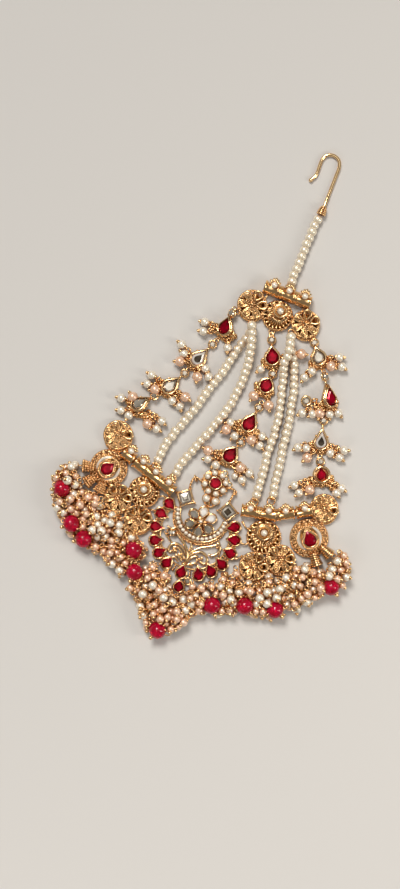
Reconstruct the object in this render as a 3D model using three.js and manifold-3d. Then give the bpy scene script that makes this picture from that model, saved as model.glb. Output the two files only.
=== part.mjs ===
// Jhoomar, a jewel for the side of the head, lying flat on its back.
// X runs across the jewel, Y from the fringe to the hook, Z up from the surface it lies on.
// Lengths are millimetres. All places are counted from the middle of the crescent, and the
// whole group is moved at the end so that the origin is under the middle of its box.

import * as THREE from 'three';
import { mergeVertices } from 'three/addons/utils/BufferGeometryUtils.js';
import Module from 'manifold-3d';

const wasm = await Module();
wasm.setup();

// Driving dimensions.
const CRESCENT_FROM_ORIGIN = { x: -0.95, y: -43.55 };
const GAP = 0.3;
const SMALLEST_STEP = 0.03;
const BACK_PLATE = 1;

const STRING_WIDTH = 3.1;
const STRING_STEP = 6;
const UNDER_STRING = 1.6;
const OVER_STRING = UNDER_STRING + STRING_WIDTH + GAP + 0.1;

const PEARL = 3.2;
const RED_BEAD = 5.9;
const RED_BEAD_HEIGHT = 4.6;
const WIRE = 0.7;

const BAR_WIDTH = 4.2;
const BAR_FLARE = 4.8;
const STUD_HEIGHT = 5.2;

const BEZEL_HEIGHT = 2.6;
const BEZEL_WALL = 0.55;
const LINK_STONE = 3;

const RUBY_RING = { x: 0, y: -7.8, radius: 13.6, width: 2, stone_width: 3.9, stone_length: 4.5 };
const CRESCENT = { inner: 7.3, outer: 10.1, height: 1.8, from: 188, to: 358 };
const SQUARE_STONE = 4.7;
const FLOWER = { x: 0.6, y: 11.5, rim: 5.2, core: 4.2, ruby: 2.2, height: 2.4 };

const FRINGE_HEIGHT = 6;
const FRINGE_ROUNDING = 1.5;

const HOOK_WIRE = 1.2;
const HOOK_BEND = 3.3;

const GOLD = { color: 0xc98f4a, metalness: 1, roughness: 0.35 };
const CREAM = { color: 0xf1e2cb, metalness: 0, roughness: 0.25 };
const PEACH = { color: 0xe2a585, metalness: 0, roughness: 0.25 };
const RUBY = { color: 0x7d0515, metalness: 0, roughness: 0.1 };
const CLEAR = { color: 0xb3a98c, metalness: 0.3, roughness: 0.1 };
const RED = { color: 0xb00824, metalness: 0, roughness: 0.1 };

const jhoomar = new THREE.Group();

// A closed geometry as a solid that can be joined and cut.
function solid(geometry) {
  const bare = geometry.clone();
  bare.deleteAttribute('normal');
  bare.deleteAttribute('uv');
  const merged = mergeVertices(bare, 1e-4);
  const corners = merged.index.array;
  const whole = [];
  for (let i = 0; i < corners.length; i += 3) {
    const [a, b, c] = corners.slice(i, i + 3);
    if (a !== b && b !== c && c !== a) whole.push(a, b, c);
  }
  return new wasm.Manifold(new wasm.Mesh({
    numProp: 3,
    vertProperties: merged.attributes.position.array,
    triVerts: new Uint32Array(whole),
  }));
}

function join(pieces) {
  return pieces.reduce((whole, piece) => whole.add(piece));
}

function addPiece(name, body, finish) {
  const mesh = body.simplify(SMALLEST_STEP).getMesh();
  const geometry = new THREE.BufferGeometry();
  geometry.setAttribute('position', new THREE.BufferAttribute(mesh.vertProperties, 3));
  geometry.setIndex(new THREE.BufferAttribute(mesh.triVerts, 1));
  geometry.computeVertexNormals();
  const piece = new THREE.Mesh(geometry, new THREE.MeshStandardMaterial(finish));
  piece.name = name;
  jhoomar.add(piece);
}

function rad(degrees) {
  return THREE.MathUtils.degToRad(degrees);
}

// The basic forms: an upright disc, a flat-backed slab, a wire, a bead and a turned form.
function disc(x, y, radius, low, high, sides = 12) {
  const geometry = new THREE.CylinderGeometry(radius, radius, high - low, sides);
  geometry.rotateX(Math.PI / 2);
  geometry.translate(x, y, (low + high) / 2);
  return solid(geometry);
}

function slab(shape, low, high, curveSegments) {
  const geometry = new THREE.ExtrudeGeometry(shape, {
    depth: high - low,
    bevelEnabled: false,
    curveSegments,
  });
  geometry.translate(0, 0, low);
  return geometry;
}

function strip(from, to, width, low, high) {
  const length = Math.hypot(to.x - from.x, to.y - from.y);
  const geometry = new THREE.BoxGeometry(length, width, high - low);
  geometry.rotateZ(Math.atan2(to.y - from.y, to.x - from.x));
  geometry.translate((from.x + to.x) / 2, (from.y + to.y) / 2, (low + high) / 2);
  return solid(geometry);
}

function wire(from, to, width = WIRE) {
  const start = new THREE.Vector3(from.x, from.y, from.z);
  const end = new THREE.Vector3(to.x, to.y, to.z);
  const along = end.clone().sub(start);
  const geometry = new THREE.BoxGeometry(width, along.length(), width);
  const turn = new THREE.Quaternion().setFromUnitVectors(
    new THREE.Vector3(0, 1, 0),
    along.normalize(),
  );
  geometry.applyQuaternion(turn);
  const middle = start.add(end).multiplyScalar(0.5);
  geometry.translate(middle.x, middle.y, middle.z);
  return solid(geometry);
}

function bead(x, y, z, diameter, around = 6, down = 4) {
  const geometry = new THREE.SphereGeometry(diameter / 2, around, down);
  geometry.rotateX(Math.PI / 2);
  geometry.translate(x, y, z);
  return solid(geometry);
}

function turned(profile, sides) {
  const points = profile.map(([radius, height]) => new THREE.Vector2(radius, height));
  return new THREE.LatheGeometry(points, sides);
}

// A tube along a list of places, with round ends cut square.
function tube(places, width, steps, sides = 8) {
  const route = new THREE.CatmullRomCurve3(
    places.map(([x, y, z]) => new THREE.Vector3(x, y, z)),
    false,
    'centripetal',
  );
  const section = new THREE.Shape();
  for (let i = 0; i < sides; i += 1) {
    const angle = (2 * Math.PI * i) / sides;
    const place = [Math.cos(angle) * width / 2, Math.sin(angle) * width / 2];
    if (i === 0) section.moveTo(...place);
    else section.lineTo(...place);
  }
  section.closePath();
  return solid(new THREE.ExtrudeGeometry(section, { steps, extrudePath: route }));
}

// A flat band that follows part of a circle.
function arcBand(x, y, inner, outer, from, to, low, high, steps = 4) {
  const shape = new THREE.Shape();
  shape.absarc(x, y, outer, rad(from), rad(to), false);
  shape.absarc(x, y, inner, rad(to), rad(from), true);
  shape.closePath();
  return solid(slab(shape, low, high, steps));
}

// The outline of a pear-shaped stone, its tip towards +Y, or an even inset of that outline.
function pear(width, length, inset = 0) {
  const middle = width / 2 - length / 2;
  const lean = Math.asin(width / 2 / (length - width / 2));
  const radius = width / 2 - inset;
  const tip = (length - width / 2) * radius / (width / 2);
  const shape = new THREE.Shape();
  shape.moveTo(0, middle + tip);
  shape.lineTo(-radius * Math.cos(lean), middle + radius * Math.sin(lean));
  shape.absarc(0, middle, radius, Math.PI - lean, 2 * Math.PI + lean, false);
  shape.closePath();
  return shape;
}

function placed(geometry, x, y, heading) {
  geometry.rotateZ(rad(heading - 90));
  geometry.translate(x, y, 0);
  return geometry;
}

// Hook: a plain wire that catches the hair, on the cap that ends the top string.
const STEM = { x: 3.5, y: 130 };
const HOOK_ROUTE = [
  [3.2, 113.4, 1.6],
  [3.3, 116, 1],
  [3.4, 122, 0.7],
  [STEM.x, STEM.y - 3, 0.7],
  [STEM.x, STEM.y, 0.7],
  [STEM.x - HOOK_BEND, STEM.y + HOOK_BEND, 0.7],
  [STEM.x - 2 * HOOK_BEND, STEM.y, 0.7],
  [STEM.x - 2 * HOOK_BEND, STEM.y - 5, 0.7],
  [STEM.x - 2 * HOOK_BEND - 1.2, STEM.y - 7.5, 0.7],
];
const cap = tube([[3.1, 112.1, 1.6], [3.2, 114.4, 1.6]], 3, 1);
addPiece('hook', join([cap, tube(HOOK_ROUTE, HOOK_WIRE, 22, 6)]), GOLD);

// Strings of seed pearls. The two strings on each side leave the crest together, one on the
// other, and lie side by side further down.
const STRINGS = {
  top_string: [
    [1.5, 87, UNDER_STRING],
    [1.6, 92, UNDER_STRING],
    [1.9, 98.5, UNDER_STRING],
    [2.2, 104, UNDER_STRING],
    [2.5, 109, UNDER_STRING],
    [3, 111.7, UNDER_STRING],
  ],
  string_left_outer: [
    [-6.5, 68.7, UNDER_STRING],
    [-5.9, 65, UNDER_STRING],
    [-6.4, 61.5, UNDER_STRING],
    [-8.4, 57.7, UNDER_STRING],
    [-9.5, 52, UNDER_STRING],
    [-10.9, 46.8, UNDER_STRING],
    [-13.2, 40, UNDER_STRING],
    [-15.2, 33, UNDER_STRING],
    [-17.9, 25.8, UNDER_STRING],
    [-20.3, 19, UNDER_STRING],
    [-21.2, 12.4, UNDER_STRING],
  ],
  string_left_inner: [
    [-6.5, 68.7, OVER_STRING],
    [-5.5, 65, OVER_STRING],
    [-4.3, 61, OVER_STRING],
    [-3.2, 57, 4.3],
    [-2.8, 52.8, 2],
    [-2.8, 47.8, UNDER_STRING],
    [-3.5, 42.5, UNDER_STRING],
    [-4.1, 36.8, UNDER_STRING],
    [-6.2, 31.4, UNDER_STRING],
    [-9.1, 24, UNDER_STRING],
    [-11.7, 17, UNDER_STRING],
    [-14, 10.6, UNDER_STRING],
  ],
  string_right_outer: [
    [7.3, 69.3, 1.8],
    [8.2, 67, 2.2],
    [9.2, 64.6, 3],
    [10.6, 62.4, 3],
    [12, 60.4, 2.4],
    [13, 57.6, 1.7],
    [14.3, 54.6, UNDER_STRING],
    [15.8, 49.6, UNDER_STRING],
    [16.6, 44, UNDER_STRING],
    [17.5, 38.6, UNDER_STRING],
    [18.3, 32.5, UNDER_STRING],
    [19.1, 27, UNDER_STRING],
    [19.9, 21, UNDER_STRING],
    [20.9, 15, UNDER_STRING],
  ],
  string_right_inner: [
    [7.3, 69.3, 5.3],
    [8.2, 67, 5.9],
    [8.9, 64.6, 6.5],
    [8.7, 61.4, 6],
    [8.9, 58.6, 4.4],
    [9.6, 55.6, 2.3],
    [10.7, 52.4, UNDER_STRING],
    [12, 47.4, UNDER_STRING],
    [13.1, 41.4, UNDER_STRING],
    [13.9, 36.4, UNDER_STRING],
    [14.2, 31.6, UNDER_STRING],
    [14, 27.4, UNDER_STRING],
    [14.5, 23.4, UNDER_STRING],
    [15, 18, UNDER_STRING],
    [15.5, 12.6, UNDER_STRING],
  ],
};
for (const [name, route] of Object.entries(STRINGS)) {
  const length = Math.abs(route[0][1] - route.at(-1)[1]);
  addPiece(name, tube(route, STRING_WIDTH, Math.round(length / STRING_STEP) + 2), CREAM);
}

// A rosette: a stacked, domed flower of filigree with a flat back.
function rosette({ x, y, radius, height }) {
  const geometry = turned([
    [0, 0],
    [radius, 0],
    [radius, 1.3],
    [0.74 * radius, 1.7],
    [0.66 * radius, 0.75 * height],
    [0.35 * radius, height],
    [0, height],
  ], 12);
  geometry.rotateX(Math.PI / 2);
  geometry.translate(x, y, 0);
  return solid(geometry);
}

// A turned bar with flared ends and two ribs, and the flower studs along it.
function bar(from, to) {
  const length = Math.hypot(to.x - from.x, to.y - from.y);
  const end = length / 2;
  const body = BAR_WIDTH / 2;
  const flare = BAR_FLARE / 2;
  const rib = length / 6;
  const half = [
    [0, end],
    [flare, end],
    [body, end - 0.8],
    [body, rib + 0.5],
    [flare, rib],
    [body, rib - 0.5],
  ];
  const mirrored = half.map(([radius, height]) => [radius, -height]);
  const geometry = turned([...mirrored, ...half.reverse()], 8);
  geometry.rotateZ(Math.atan2(to.y - from.y, to.x - from.x) - Math.PI / 2);
  geometry.translate((from.x + to.x) / 2, (from.y + to.y) / 2, flare);
  return solid(geometry);
}

// A bead cap: a ribbed cone that hangs from a rosette's edge over the fringe.
function beadCap(fromX, fromY, toX, toY) {
  const length = Math.hypot(toX - fromX, toY - fromY);
  const geometry = new THREE.CylinderGeometry(0.9, 1.7, length, 8);
  geometry.rotateZ(Math.atan2(toY - fromY, toX - fromX) + Math.PI / 2);
  geometry.translate((fromX + toX) / 2, (fromY + toY) / 2, 1.7);
  return solid(geometry);
}

function stud(x, y) {
  const geometry = new THREE.CylinderGeometry(1.5, 0.8, 2.4, 5);
  geometry.rotateX(Math.PI / 2);
  geometry.translate(x, y, STUD_HEIGHT - 1.2);
  return solid(geometry);
}

// A lug soldered to a bar or rosette, reaching to the string or drop that it carries.
function lug([fromX, fromY, toX, toY]) {
  return strip({ x: fromX, y: fromY }, { x: toX, y: toY }, 1.4, 0, 2.2);
}

// Crest: the short bar at the top with three rosettes soldered below it.
const CREST_ROSETTES = [
  { x: -8.7, y: 74.5, radius: 5.1, height: 3.8 },
  { x: 1.9, y: 75.5, radius: 4.9, height: 4.4 },
  { x: 11.2, y: 74.4, radius: 4.9, height: 3.8 },
];
const CREST_LUGS = [
  [-11, 71.5, -12.3, 70.2],
  [1.9, 71.5, 1.9, 67.4],
  [14, 71.4, 14.6, 70.8],
  [-7.4, 70.6, -7, 69.3],
  [6.9, 74, 7.2, 69.8],
  [1.7, 82, 1.5, 86.7],
];
addPiece('crest', join([
  bar({ x: -6.9, y: 81.9 }, { x: 10.3, y: 81.8 }),
  ...CREST_ROSETTES.map(rosette),
  ...[-3.7, 1.9, 7.6].map((x) => stud(x, 83)),
  strip({ x: -8, y: 78 }, { x: -5.6, y: 82 }, 3, 0, 1.8),
  strip({ x: 10.6, y: 78 }, { x: 9, y: 82 }, 3, 0, 1.8),
  ...CREST_LUGS.map(lug),
]), GOLD);

// Side and centre chains of pear-shaped drops. heading is the way the tip points, link the
// distance from the drop's middle to its small round stone, roll its lean about its length.
const DROPS = {
  left_drop_1: { x: -13.8, y: 64.2, heading: 88, width: 5.2, length: 7, link: 4.9, roll: -32 },
  left_drop_2: { x: -19.6, y: 51, heading: 65, width: 5.3, length: 7.6, link: 6.3, roll: 0 },
  left_drop_3: { x: -25.6, y: 38.6, heading: 61, width: 5.2, length: 7.4, link: 6.2, roll: 0 },
  left_drop_4: { x: -32.8, y: 28.5, heading: 50, width: 5, length: 7.2, link: 5.3, roll: -25 },
  centre_drop_1: { x: 4, y: 60.2, heading: 112, width: 5.3, length: 6.9, link: 5.5, roll: 0 },
  centre_drop_2: { x: 5.6, y: 49.8, heading: 80, width: 5.2, length: 5.9, link: 4.5, roll: 0 },
  centre_drop_3: { x: 4.7, y: 35.8, heading: 79, width: 5.2, length: 7.4, link: 5.9, roll: 0 },
  centre_drop_4: { x: 2.2, y: 22.9, heading: 70, width: 5.3, length: 6.8, link: 5.4, roll: 0 },
  right_drop_1: { x: 19.1, y: 65.5, heading: 125, width: 5.2, length: 6.6, link: 4.9, roll: 0 },
  right_drop_2: { x: 26.6, y: 53.2, heading: 120, width: 5.2, length: 8, link: 6.9, roll: 35 },
  right_drop_3: { x: 30.1, y: 38.6, heading: 103, width: 5, length: 7.6, link: 6.6, roll: 0 },
  right_drop_4: { x: 34.4, y: 27, heading: 115, width: 5.7, length: 5.9, link: 4.6, roll: 0 },
};
const RUBY_DROPS = [
  'left_drop_1', 'centre_drop_1', 'centre_drop_2', 'centre_drop_3', 'centre_drop_4',
  'right_drop_2', 'right_drop_4',
];
// Pearls that hang in bunches beside each drop: the drop, then the place of each pearl.
const BUNCHES = {
  left_drop_1: [[-22.1, 63.1], [-21.4, 59.9], [-11.9, 57.2]],
  left_drop_2: [[-27, 53], [-25.3, 50.2], [-25.6, 47.1], [-16.6, 47.6], [-14.8, 45.4]],
  left_drop_3: [[-33.2, 39.4], [-33.6, 36.1], [-32, 36.2], [-23.2, 33.4], [-20.4, 32.4]],
  left_drop_4: [[-40.4, 28.2], [-39.2, 24.2], [-37.7, 30.7], [-28.6, 22.8], [-24.6, 25.2]],
  centre_drop_1: [[1.6, 54.4], [13.5, 64.3, 1.2]],
  centre_drop_2: [[2.6, 44.8], [8.6, 44.4]],
  centre_drop_3: [[-1.6, 33.2], [-2.2, 30.3], [1, 29.3], [10.2, 32.4], [9.8, 29.3]],
  centre_drop_4: [[-5.6, 21.4], [-5, 18.6], [-1.8, 17.9, 3.2], [10.4, 18.9], [8.9, 16]],
  right_drop_1: [[18.8, 59.7], [17.3, 56.9], [24.7, 63.9], [26.2, 67.3], [28, 64.6]],
  right_drop_2: [[20.7, 49.3], [20.8, 45.4], [24.1, 46.6], [30.1, 48.2], [32.4, 49.2]],
  right_drop_3: [[23.4, 33.2], [26.3, 33.8], [27.4, 30.8], [34.6, 35.2], [38, 35.6]],
  right_drop_4: [[26.7, 20.4], [29.2, 18.6], [32, 20.9], [42.4, 25], [40.9, 22.6]],
};
// What each drop's wire ends at: the next small round stone, the flower or a rosette.
const CARRIED_BY_WIRE = {
  left_drop_4: { x: -37, y: 15.7, radius: 5.1 },
  centre_drop_4: { x: FLOWER.x, y: FLOWER.y, radius: FLOWER.rim },
  right_drop_4: { x: 39.2, y: 16.3, radius: 4.9 },
};

// The middle of a drop's small round stone, moved sideways by the drop's lean.
function roundStonePlace(name) {
  const { x, y, heading, link, roll } = DROPS[name];
  const sideways = (BEZEL_HEIGHT / 2) * Math.sin(rad(roll));
  return {
    x: x + link * Math.cos(rad(heading)) + sideways * Math.sin(rad(heading)),
    y: y + link * Math.sin(rad(heading)) - sideways * Math.cos(rad(heading)),
  };
}

// The setting leans about its own length and then stands with its lowest edge on the surface.
function leaned(body, drop) {
  const rolled = body.rotate([0, drop.roll, 0]);
  drop.lift ??= -rolled.boundingBox().min[2];
  return rolled
    .translate([0, 0, drop.lift])
    .rotate([0, 0, drop.heading - 90])
    .translate([drop.x, drop.y, 0]);
}

function setting(drop) {
  const pocket = pear(drop.width, drop.length, BEZEL_WALL);
  const cup = solid(slab(pear(drop.width, drop.length), 0, BEZEL_HEIGHT, 3))
    .subtract(solid(slab(pocket, 1, BEZEL_HEIGHT + 1, 3)));
  const tip = { x: 0, y: drop.length / 2 - 0.5 };
  const end = { x: 0, y: drop.link };
  return join([
    cup,
    strip(tip, end, 1.2, 0.2, 1.8),
    disc(0, drop.link, LINK_STONE / 2, 0.1, 2.3, 10),
  ]);
}

function stone(drop) {
  const outline = pear(drop.width, drop.length, BEZEL_WALL + GAP);
  const geometry = new THREE.ExtrudeGeometry(outline, {
    depth: 0.9,
    bevelThickness: 0.4,
    bevelSize: 0.4,
    bevelOffset: -0.4,
    bevelSegments: 1,
    curveSegments: 3,
  });
  geometry.translate(0, 0, 1 + GAP + 0.4);
  return solid(geometry);
}

// A wire bow round the drop's lower end, a tail to the next piece and a bunch of pearls.
function bunch(name, target) {
  const { x, y, heading, width, length } = DROPS[name];
  const back = length / 2 - width / 2;
  const middleX = x - back * Math.cos(rad(heading));
  const middleY = y - back * Math.sin(rad(heading));
  const inner = width / 2 + 1.5 * GAP;
  const outer = inner + WIRE;
  const from = heading + 95;
  const to = heading + 265;
  const onBow = (place) => {
    const seen = THREE.MathUtils.radToDeg(Math.atan2(place.y - middleY, place.x - middleX));
    const clockwise = THREE.MathUtils.euclideanModulo(seen - heading, 360);
    const angle = rad(heading + THREE.MathUtils.clamp(clockwise, 100, 260));
    const radius = (inner + outer) / 2;
    return { x: middleX + radius * Math.cos(angle), y: middleY + radius * Math.sin(angle), z: 0.5 };
  };
  const pieces = [arcBand(middleX, middleY, inner, outer, from, to, 0.1, 0.9, 3)];
  const knot = onBow(target);
  const reach = Math.hypot(target.x - knot.x, target.y - knot.y);
  const share = (reach - target.radius - GAP) / reach;
  if (share > 0) {
    const tailEnd = {
      x: knot.x + (target.x - knot.x) * share,
      y: knot.y + (target.y - knot.y) * share,
      z: knot.z,
    };
    pieces.push(wire(knot, tailEnd));
  }
  for (const [pearlX, pearlY, height = PEARL / 2] of BUNCHES[name]) {
    const place = { x: pearlX, y: pearlY, z: Math.max(0.5, height - 0.6) };
    pieces.push(wire(onBow(place), place));
    pieces.push(bead(pearlX, pearlY, height, Math.min(PEARL, 2 * height)));
  }
  return join(pieces);
}

const dropNames = Object.keys(DROPS);
dropNames.forEach((name, index) => {
  const drop = DROPS[name];
  const next = dropNames[index + 1];
  const target = CARRIED_BY_WIRE[name] ?? { ...roundStonePlace(next), radius: LINK_STONE / 2 };
  addPiece(`${name}_setting`, leaned(setting(drop), drop), GOLD);
  addPiece(`${name}_stone`, leaned(stone(drop), drop), RUBY_DROPS.includes(name) ? RUBY : CLEAR);
  addPiece(`${name}_pearls`, bunch(name, target), CREAM);
});

// Pearl flower: a round ruby with a ring of small pearls, between the centre chain and the
// crescent, with two wire links that reach down to the square stones.
const FLOWER_PEARLS = 8;
const flowerParts = [
  disc(FLOWER.x, FLOWER.y, FLOWER.rim, 0, BACK_PLATE),
  disc(FLOWER.x, FLOWER.y, FLOWER.core, 0, FLOWER.height),
  disc(FLOWER.x, FLOWER.y, FLOWER.ruby, 0, FLOWER.height + 1, 10),
  strip({ x: -3, y: 9 }, { x: -6.6, y: 7 }, 1, 0, 0.8),
  strip({ x: 4, y: 9.5 }, { x: 7.4, y: 7.6 }, 1, 0, 0.8),
];
for (let i = 0; i < FLOWER_PEARLS; i += 1) {
  const angle = (2 * Math.PI * i) / FLOWER_PEARLS;
  const x = FLOWER.x + 3.2 * Math.cos(angle);
  const y = FLOWER.y + 3.2 * Math.sin(angle);
  flowerParts.push(bead(x, y, FLOWER.height, 2));
}
addPiece('pearl_flower', join(flowerParts), GOLD);

// Wings: on each side a ribbed bar with the strings' lugs, and five rosettes soldered to it.
const LEFT_ROSETTES = [
  { x: -37, y: 15.7, radius: 5.1, height: 3.8 },
  { x: -36.3, y: 3.7, radius: 6.6, height: 4.4 },
  { x: -21.8, y: 0.1, radius: 5.4, height: 4.4 },
  { x: -29.6, y: -5, radius: 4.9, height: 3.8 },
  { x: -20.6, y: -9.4, radius: 4.5, height: 3.8 },
];
const LEFT_BAR_STUDS = [[-30.9, 12.3], [-25.7, 9.8], [-20.3, 7.9], [-14.6, 6.2]];
addPiece('left_wing', join([
  bar({ x: -33.2, y: 10.9 }, { x: -12.1, y: 3.6 }),
  ...LEFT_ROSETTES.map(rosette),
  ...LEFT_BAR_STUDS.map(([x, y]) => stud(x, y)),
  lug([-21.2, 8, -21.2, 12]),
  lug([-14.4, 5, -14.1, 10.2]),
  strip({ x: -36, y: 14 }, { x: -31, y: 10 }, 3, 0, 1.8),
  beadCap(-41, 2.4, -45.2, 1.4),
  beadCap(-39.4, -0.2, -42, -3.6),
  beadCap(-36.4, -1, -36.8, -4.8),
]), GOLD);

const RIGHT_ROSETTES = [
  { x: 39.2, y: 16.3, radius: 4.9, height: 3.8 },
  { x: 37.9, y: 4.7, radius: 6.8, height: 4.4 },
  { x: 22.9, y: -0.4, radius: 6, height: 4.4 },
  { x: 23, y: -11.2, radius: 5, height: 3.8 },
  { x: 30.9, y: -5.7, radius: 5.1, height: 3.8 },
];
const RIGHT_BAR_STUDS = [[15.2, 7.6], [21.3, 9], [27, 11], [32.9, 14.1]];
const BAR_BEND = { x: 24, y: 8 };
addPiece('right_wing', join([
  bar({ x: 12.2, y: 5.8 }, BAR_BEND),
  bar(BAR_BEND, { x: 35.6, y: 14.2 }),
  ...RIGHT_ROSETTES.map(rosette),
  ...RIGHT_BAR_STUDS.map(([x, y]) => stud(x, y)),
  lug([15.4, 7.5, 15.5, 12.2]),
  lug([20.9, 8, 20.9, 14.6]),
  strip({ x: 24, y: 8 }, { x: 23, y: 3 }, 3, 0, 1.8),
  strip({ x: 32, y: 12 }, { x: 35.4, y: 6 }, 3, 0, 1.8),
  strip({ x: 31, y: -4 }, { x: 36, y: 3 }, 3, 0, 1.8),
  beadCap(42.8, 3.4, 46.8, 1.6),
  beadCap(41, 0.4, 43.8, -3),
]), GOLD);

// Centre pendant: an open frame of pear-shaped rubies round a pearl crescent, with a kundan
// flower in the crescent, two square stones on its tips and scrolls of wire below it.
const RUBY_FROM_BOTTOM = [-120.5, -102, -82, -62, -43.5, -25, 0, 25, 43.5, 62, 82, 102, 120.5];

function ringStone(fromBottom) {
  const angle = rad(270 + fromBottom);
  const x = RUBY_RING.x + RUBY_RING.radius * Math.cos(angle);
  const y = RUBY_RING.y + RUBY_RING.radius * Math.sin(angle);
  const outline = pear(RUBY_RING.stone_width, RUBY_RING.stone_length);
  return solid(placed(slab(outline, 0, 2.4, 3), x, y, 90 + fromBottom));
}

function squareStone(x, y, turn) {
  const geometry = new THREE.BoxGeometry(SQUARE_STONE, SQUARE_STONE, BEZEL_HEIGHT);
  geometry.rotateZ(rad(turn));
  geometry.translate(x, y, BEZEL_HEIGHT / 2);
  return solid(geometry);
}

const ringInner = RUBY_RING.radius - RUBY_RING.width / 2;
const ringOuter = RUBY_RING.radius + RUBY_RING.width / 2;
addPiece('centre_pendant', join([
  arcBand(RUBY_RING.x, RUBY_RING.y, ringInner, ringOuter, 149, 391, 0, BACK_PLATE, 11),
  ...RUBY_FROM_BOTTOM.map(ringStone),
  arcBand(0, 0, CRESCENT.inner, CRESCENT.outer, CRESCENT.from, CRESCENT.to, 0, CRESCENT.height, 8),
  rosette({ x: 0.3, y: -2.7, radius: 5.1, height: 3.2 }),
  squareStone(-7.5, 3.2, 35),
  squareStone(8.1, 3.6, -32),
  strip({ x: -7.5, y: 2.5 }, { x: -9.2, y: -2 }, 2.4, 0, 1.6),
  strip({ x: 8.1, y: 3 }, { x: 8.9, y: -1.5 }, 2.4, 0, 1.6),
  strip({ x: -8, y: 2.5 }, { x: -11.7, y: -0.9 }, 1.6, 0, 1.4),
  strip({ x: 8.5, y: 3 }, { x: 11.7, y: -0.9 }, 1.6, 0, 1.4),
  strip({ x: 0.2, y: -7 }, { x: 0.2, y: -20.5 }, 2, 0, 1.4),
  arcBand(-4.1, -13.6, 2.8, 3.6, 0, 250, 0, 1.6),
  arcBand(4.6, -13.4, 2.8, 3.6, -70, 180, 0, 1.6),
  strip({ x: 0.2, y: -19 }, { x: -3.4, y: -16 }, 1, 0, 1.4),
  strip({ x: 0.2, y: -19 }, { x: 4, y: -16 }, 1, 0, 1.4),
  strip({ x: -7.9, y: -6 }, { x: -7.9, y: -11 }, 2.6, 0, 1.8),
  strip({ x: -7.9, y: -11 }, { x: -10.8, y: -13 }, 1, 0, 1.4),
  strip({ x: 8, y: -6 }, { x: 10.6, y: -13 }, 1, 0, 1.4),
  strip({ x: 0.2, y: -22 }, { x: 0.9, y: -27.4 }, 2.6, 0, 2),
]), GOLD);

// Red beads: the large glass beads among the fringe's pearls, each on its own headpin.
const RED_BEADS = [
  [-49, -8.5], [-41.7, -18.8], [-35.9, -22.4], [-18.2, -19.9], [-15.3, -27.1],
  [-0.9, -43.4], [14, -28.8], [24.8, -25.1], [35.1, -22.7], [50.7, -8.6],
];
RED_BEADS.forEach(([x, y], index) => {
  addPiece(`red_bead_${index + 1}`, bead(x, y, RED_BEAD_HEIGHT, RED_BEAD, 8, 6), RED);
});

// Fringe: the thick bunch of pearls under each wing and the pendant, as its outer form. It
// lies round the gold, and the red beads sit in it.
const FRINGES = {
  fringe_left: [
    [-47.8, 3.5], [-53.5, -2.5], [-54, -7.5], [-51.8, -12.5], [-48, -17.5], [-43.8, -21.6],
    [-38.4, -25.3], [-31.3, -26.6], [-23.2, -28.6], [-17.6, -32.2], [-14.6, -26.4],
    [-12.6, -19.4], [-16, -15], [-22, -11], [-27, -8], [-31, -7], [-36, -5], [-40, -4],
    [-43, -1], [-46.2, 2],
  ],
  fringe_centre: [
    [-12, -20.6], [-14.2, -26.6], [-17.2, -32.6], [-13, -36], [-8.2, -41.4], [-5, -46],
    [-1.4, -46.8], [3, -44.6], [7.4, -39.6], [9.2, -34.6], [11, -31.6], [11.6, -24],
    [10.6, -14], [0, -12],
  ],
  fringe_right: [
    [12.4, -17], [12, -24], [11.4, -31.8], [15.2, -33.4], [20.4, -30.6], [26, -28.6],
    [34.6, -27.4], [43, -21.2], [47.8, -14.6], [53.2, -11.4], [55.9, -6], [55.6, 0],
    [51.6, 5.2], [48.6, 4.6], [46, 1], [43, -2], [40, -3.5], [36, -5], [32, -8], [28, -10],
    [23, -13], [18, -14],
  ],
};

function fringe(outline) {
  const shape = new THREE.Shape(outline.map(([x, y]) => new THREE.Vector2(x, y)));
  const geometry = new THREE.ExtrudeGeometry(shape, {
    depth: FRINGE_HEIGHT - 2 * FRINGE_ROUNDING,
    bevelThickness: FRINGE_ROUNDING,
    bevelSize: FRINGE_ROUNDING,
    bevelOffset: -FRINGE_ROUNDING,
    bevelSegments: 1,
  });
  geometry.translate(0, 0, FRINGE_ROUNDING);
  return solid(geometry);
}

const CLEAR_OF = [
  ...[...LEFT_ROSETTES, ...RIGHT_ROSETTES].map(({ x, y, radius }) => [x, y, radius]),
  [RUBY_RING.x, RUBY_RING.y, ringOuter + 2],
  [-44.6, 1.6, 1.9],
  [-41.6, -3.1, 1.9],
  [-36.7, -4.2, 1.9],
  [46, 2, 2],
  [43.3, -2.4, 2],
  [0.7, -25.8, 2.6],
];
const room = join([
  ...CLEAR_OF.map(([x, y, radius]) => disc(x, y, radius + GAP, -1, FRINGE_HEIGHT + 1)),
  ...RED_BEADS.map(([x, y]) => bead(x, y, RED_BEAD_HEIGHT, RED_BEAD + 2.4 * GAP, 8, 6)),
]);
for (const [name, outline] of Object.entries(FRINGES)) {
  addPiece(name, fringe(outline).subtract(room), PEACH);
}

jhoomar.position.set(CRESCENT_FROM_ORIGIN.x, CRESCENT_FROM_ORIGIN.y, 0);

export default jhoomar;
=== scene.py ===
import math
import random

import bpy
import numpy as np
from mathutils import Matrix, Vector
from mathutils.bvhtree import BVHTree


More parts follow.
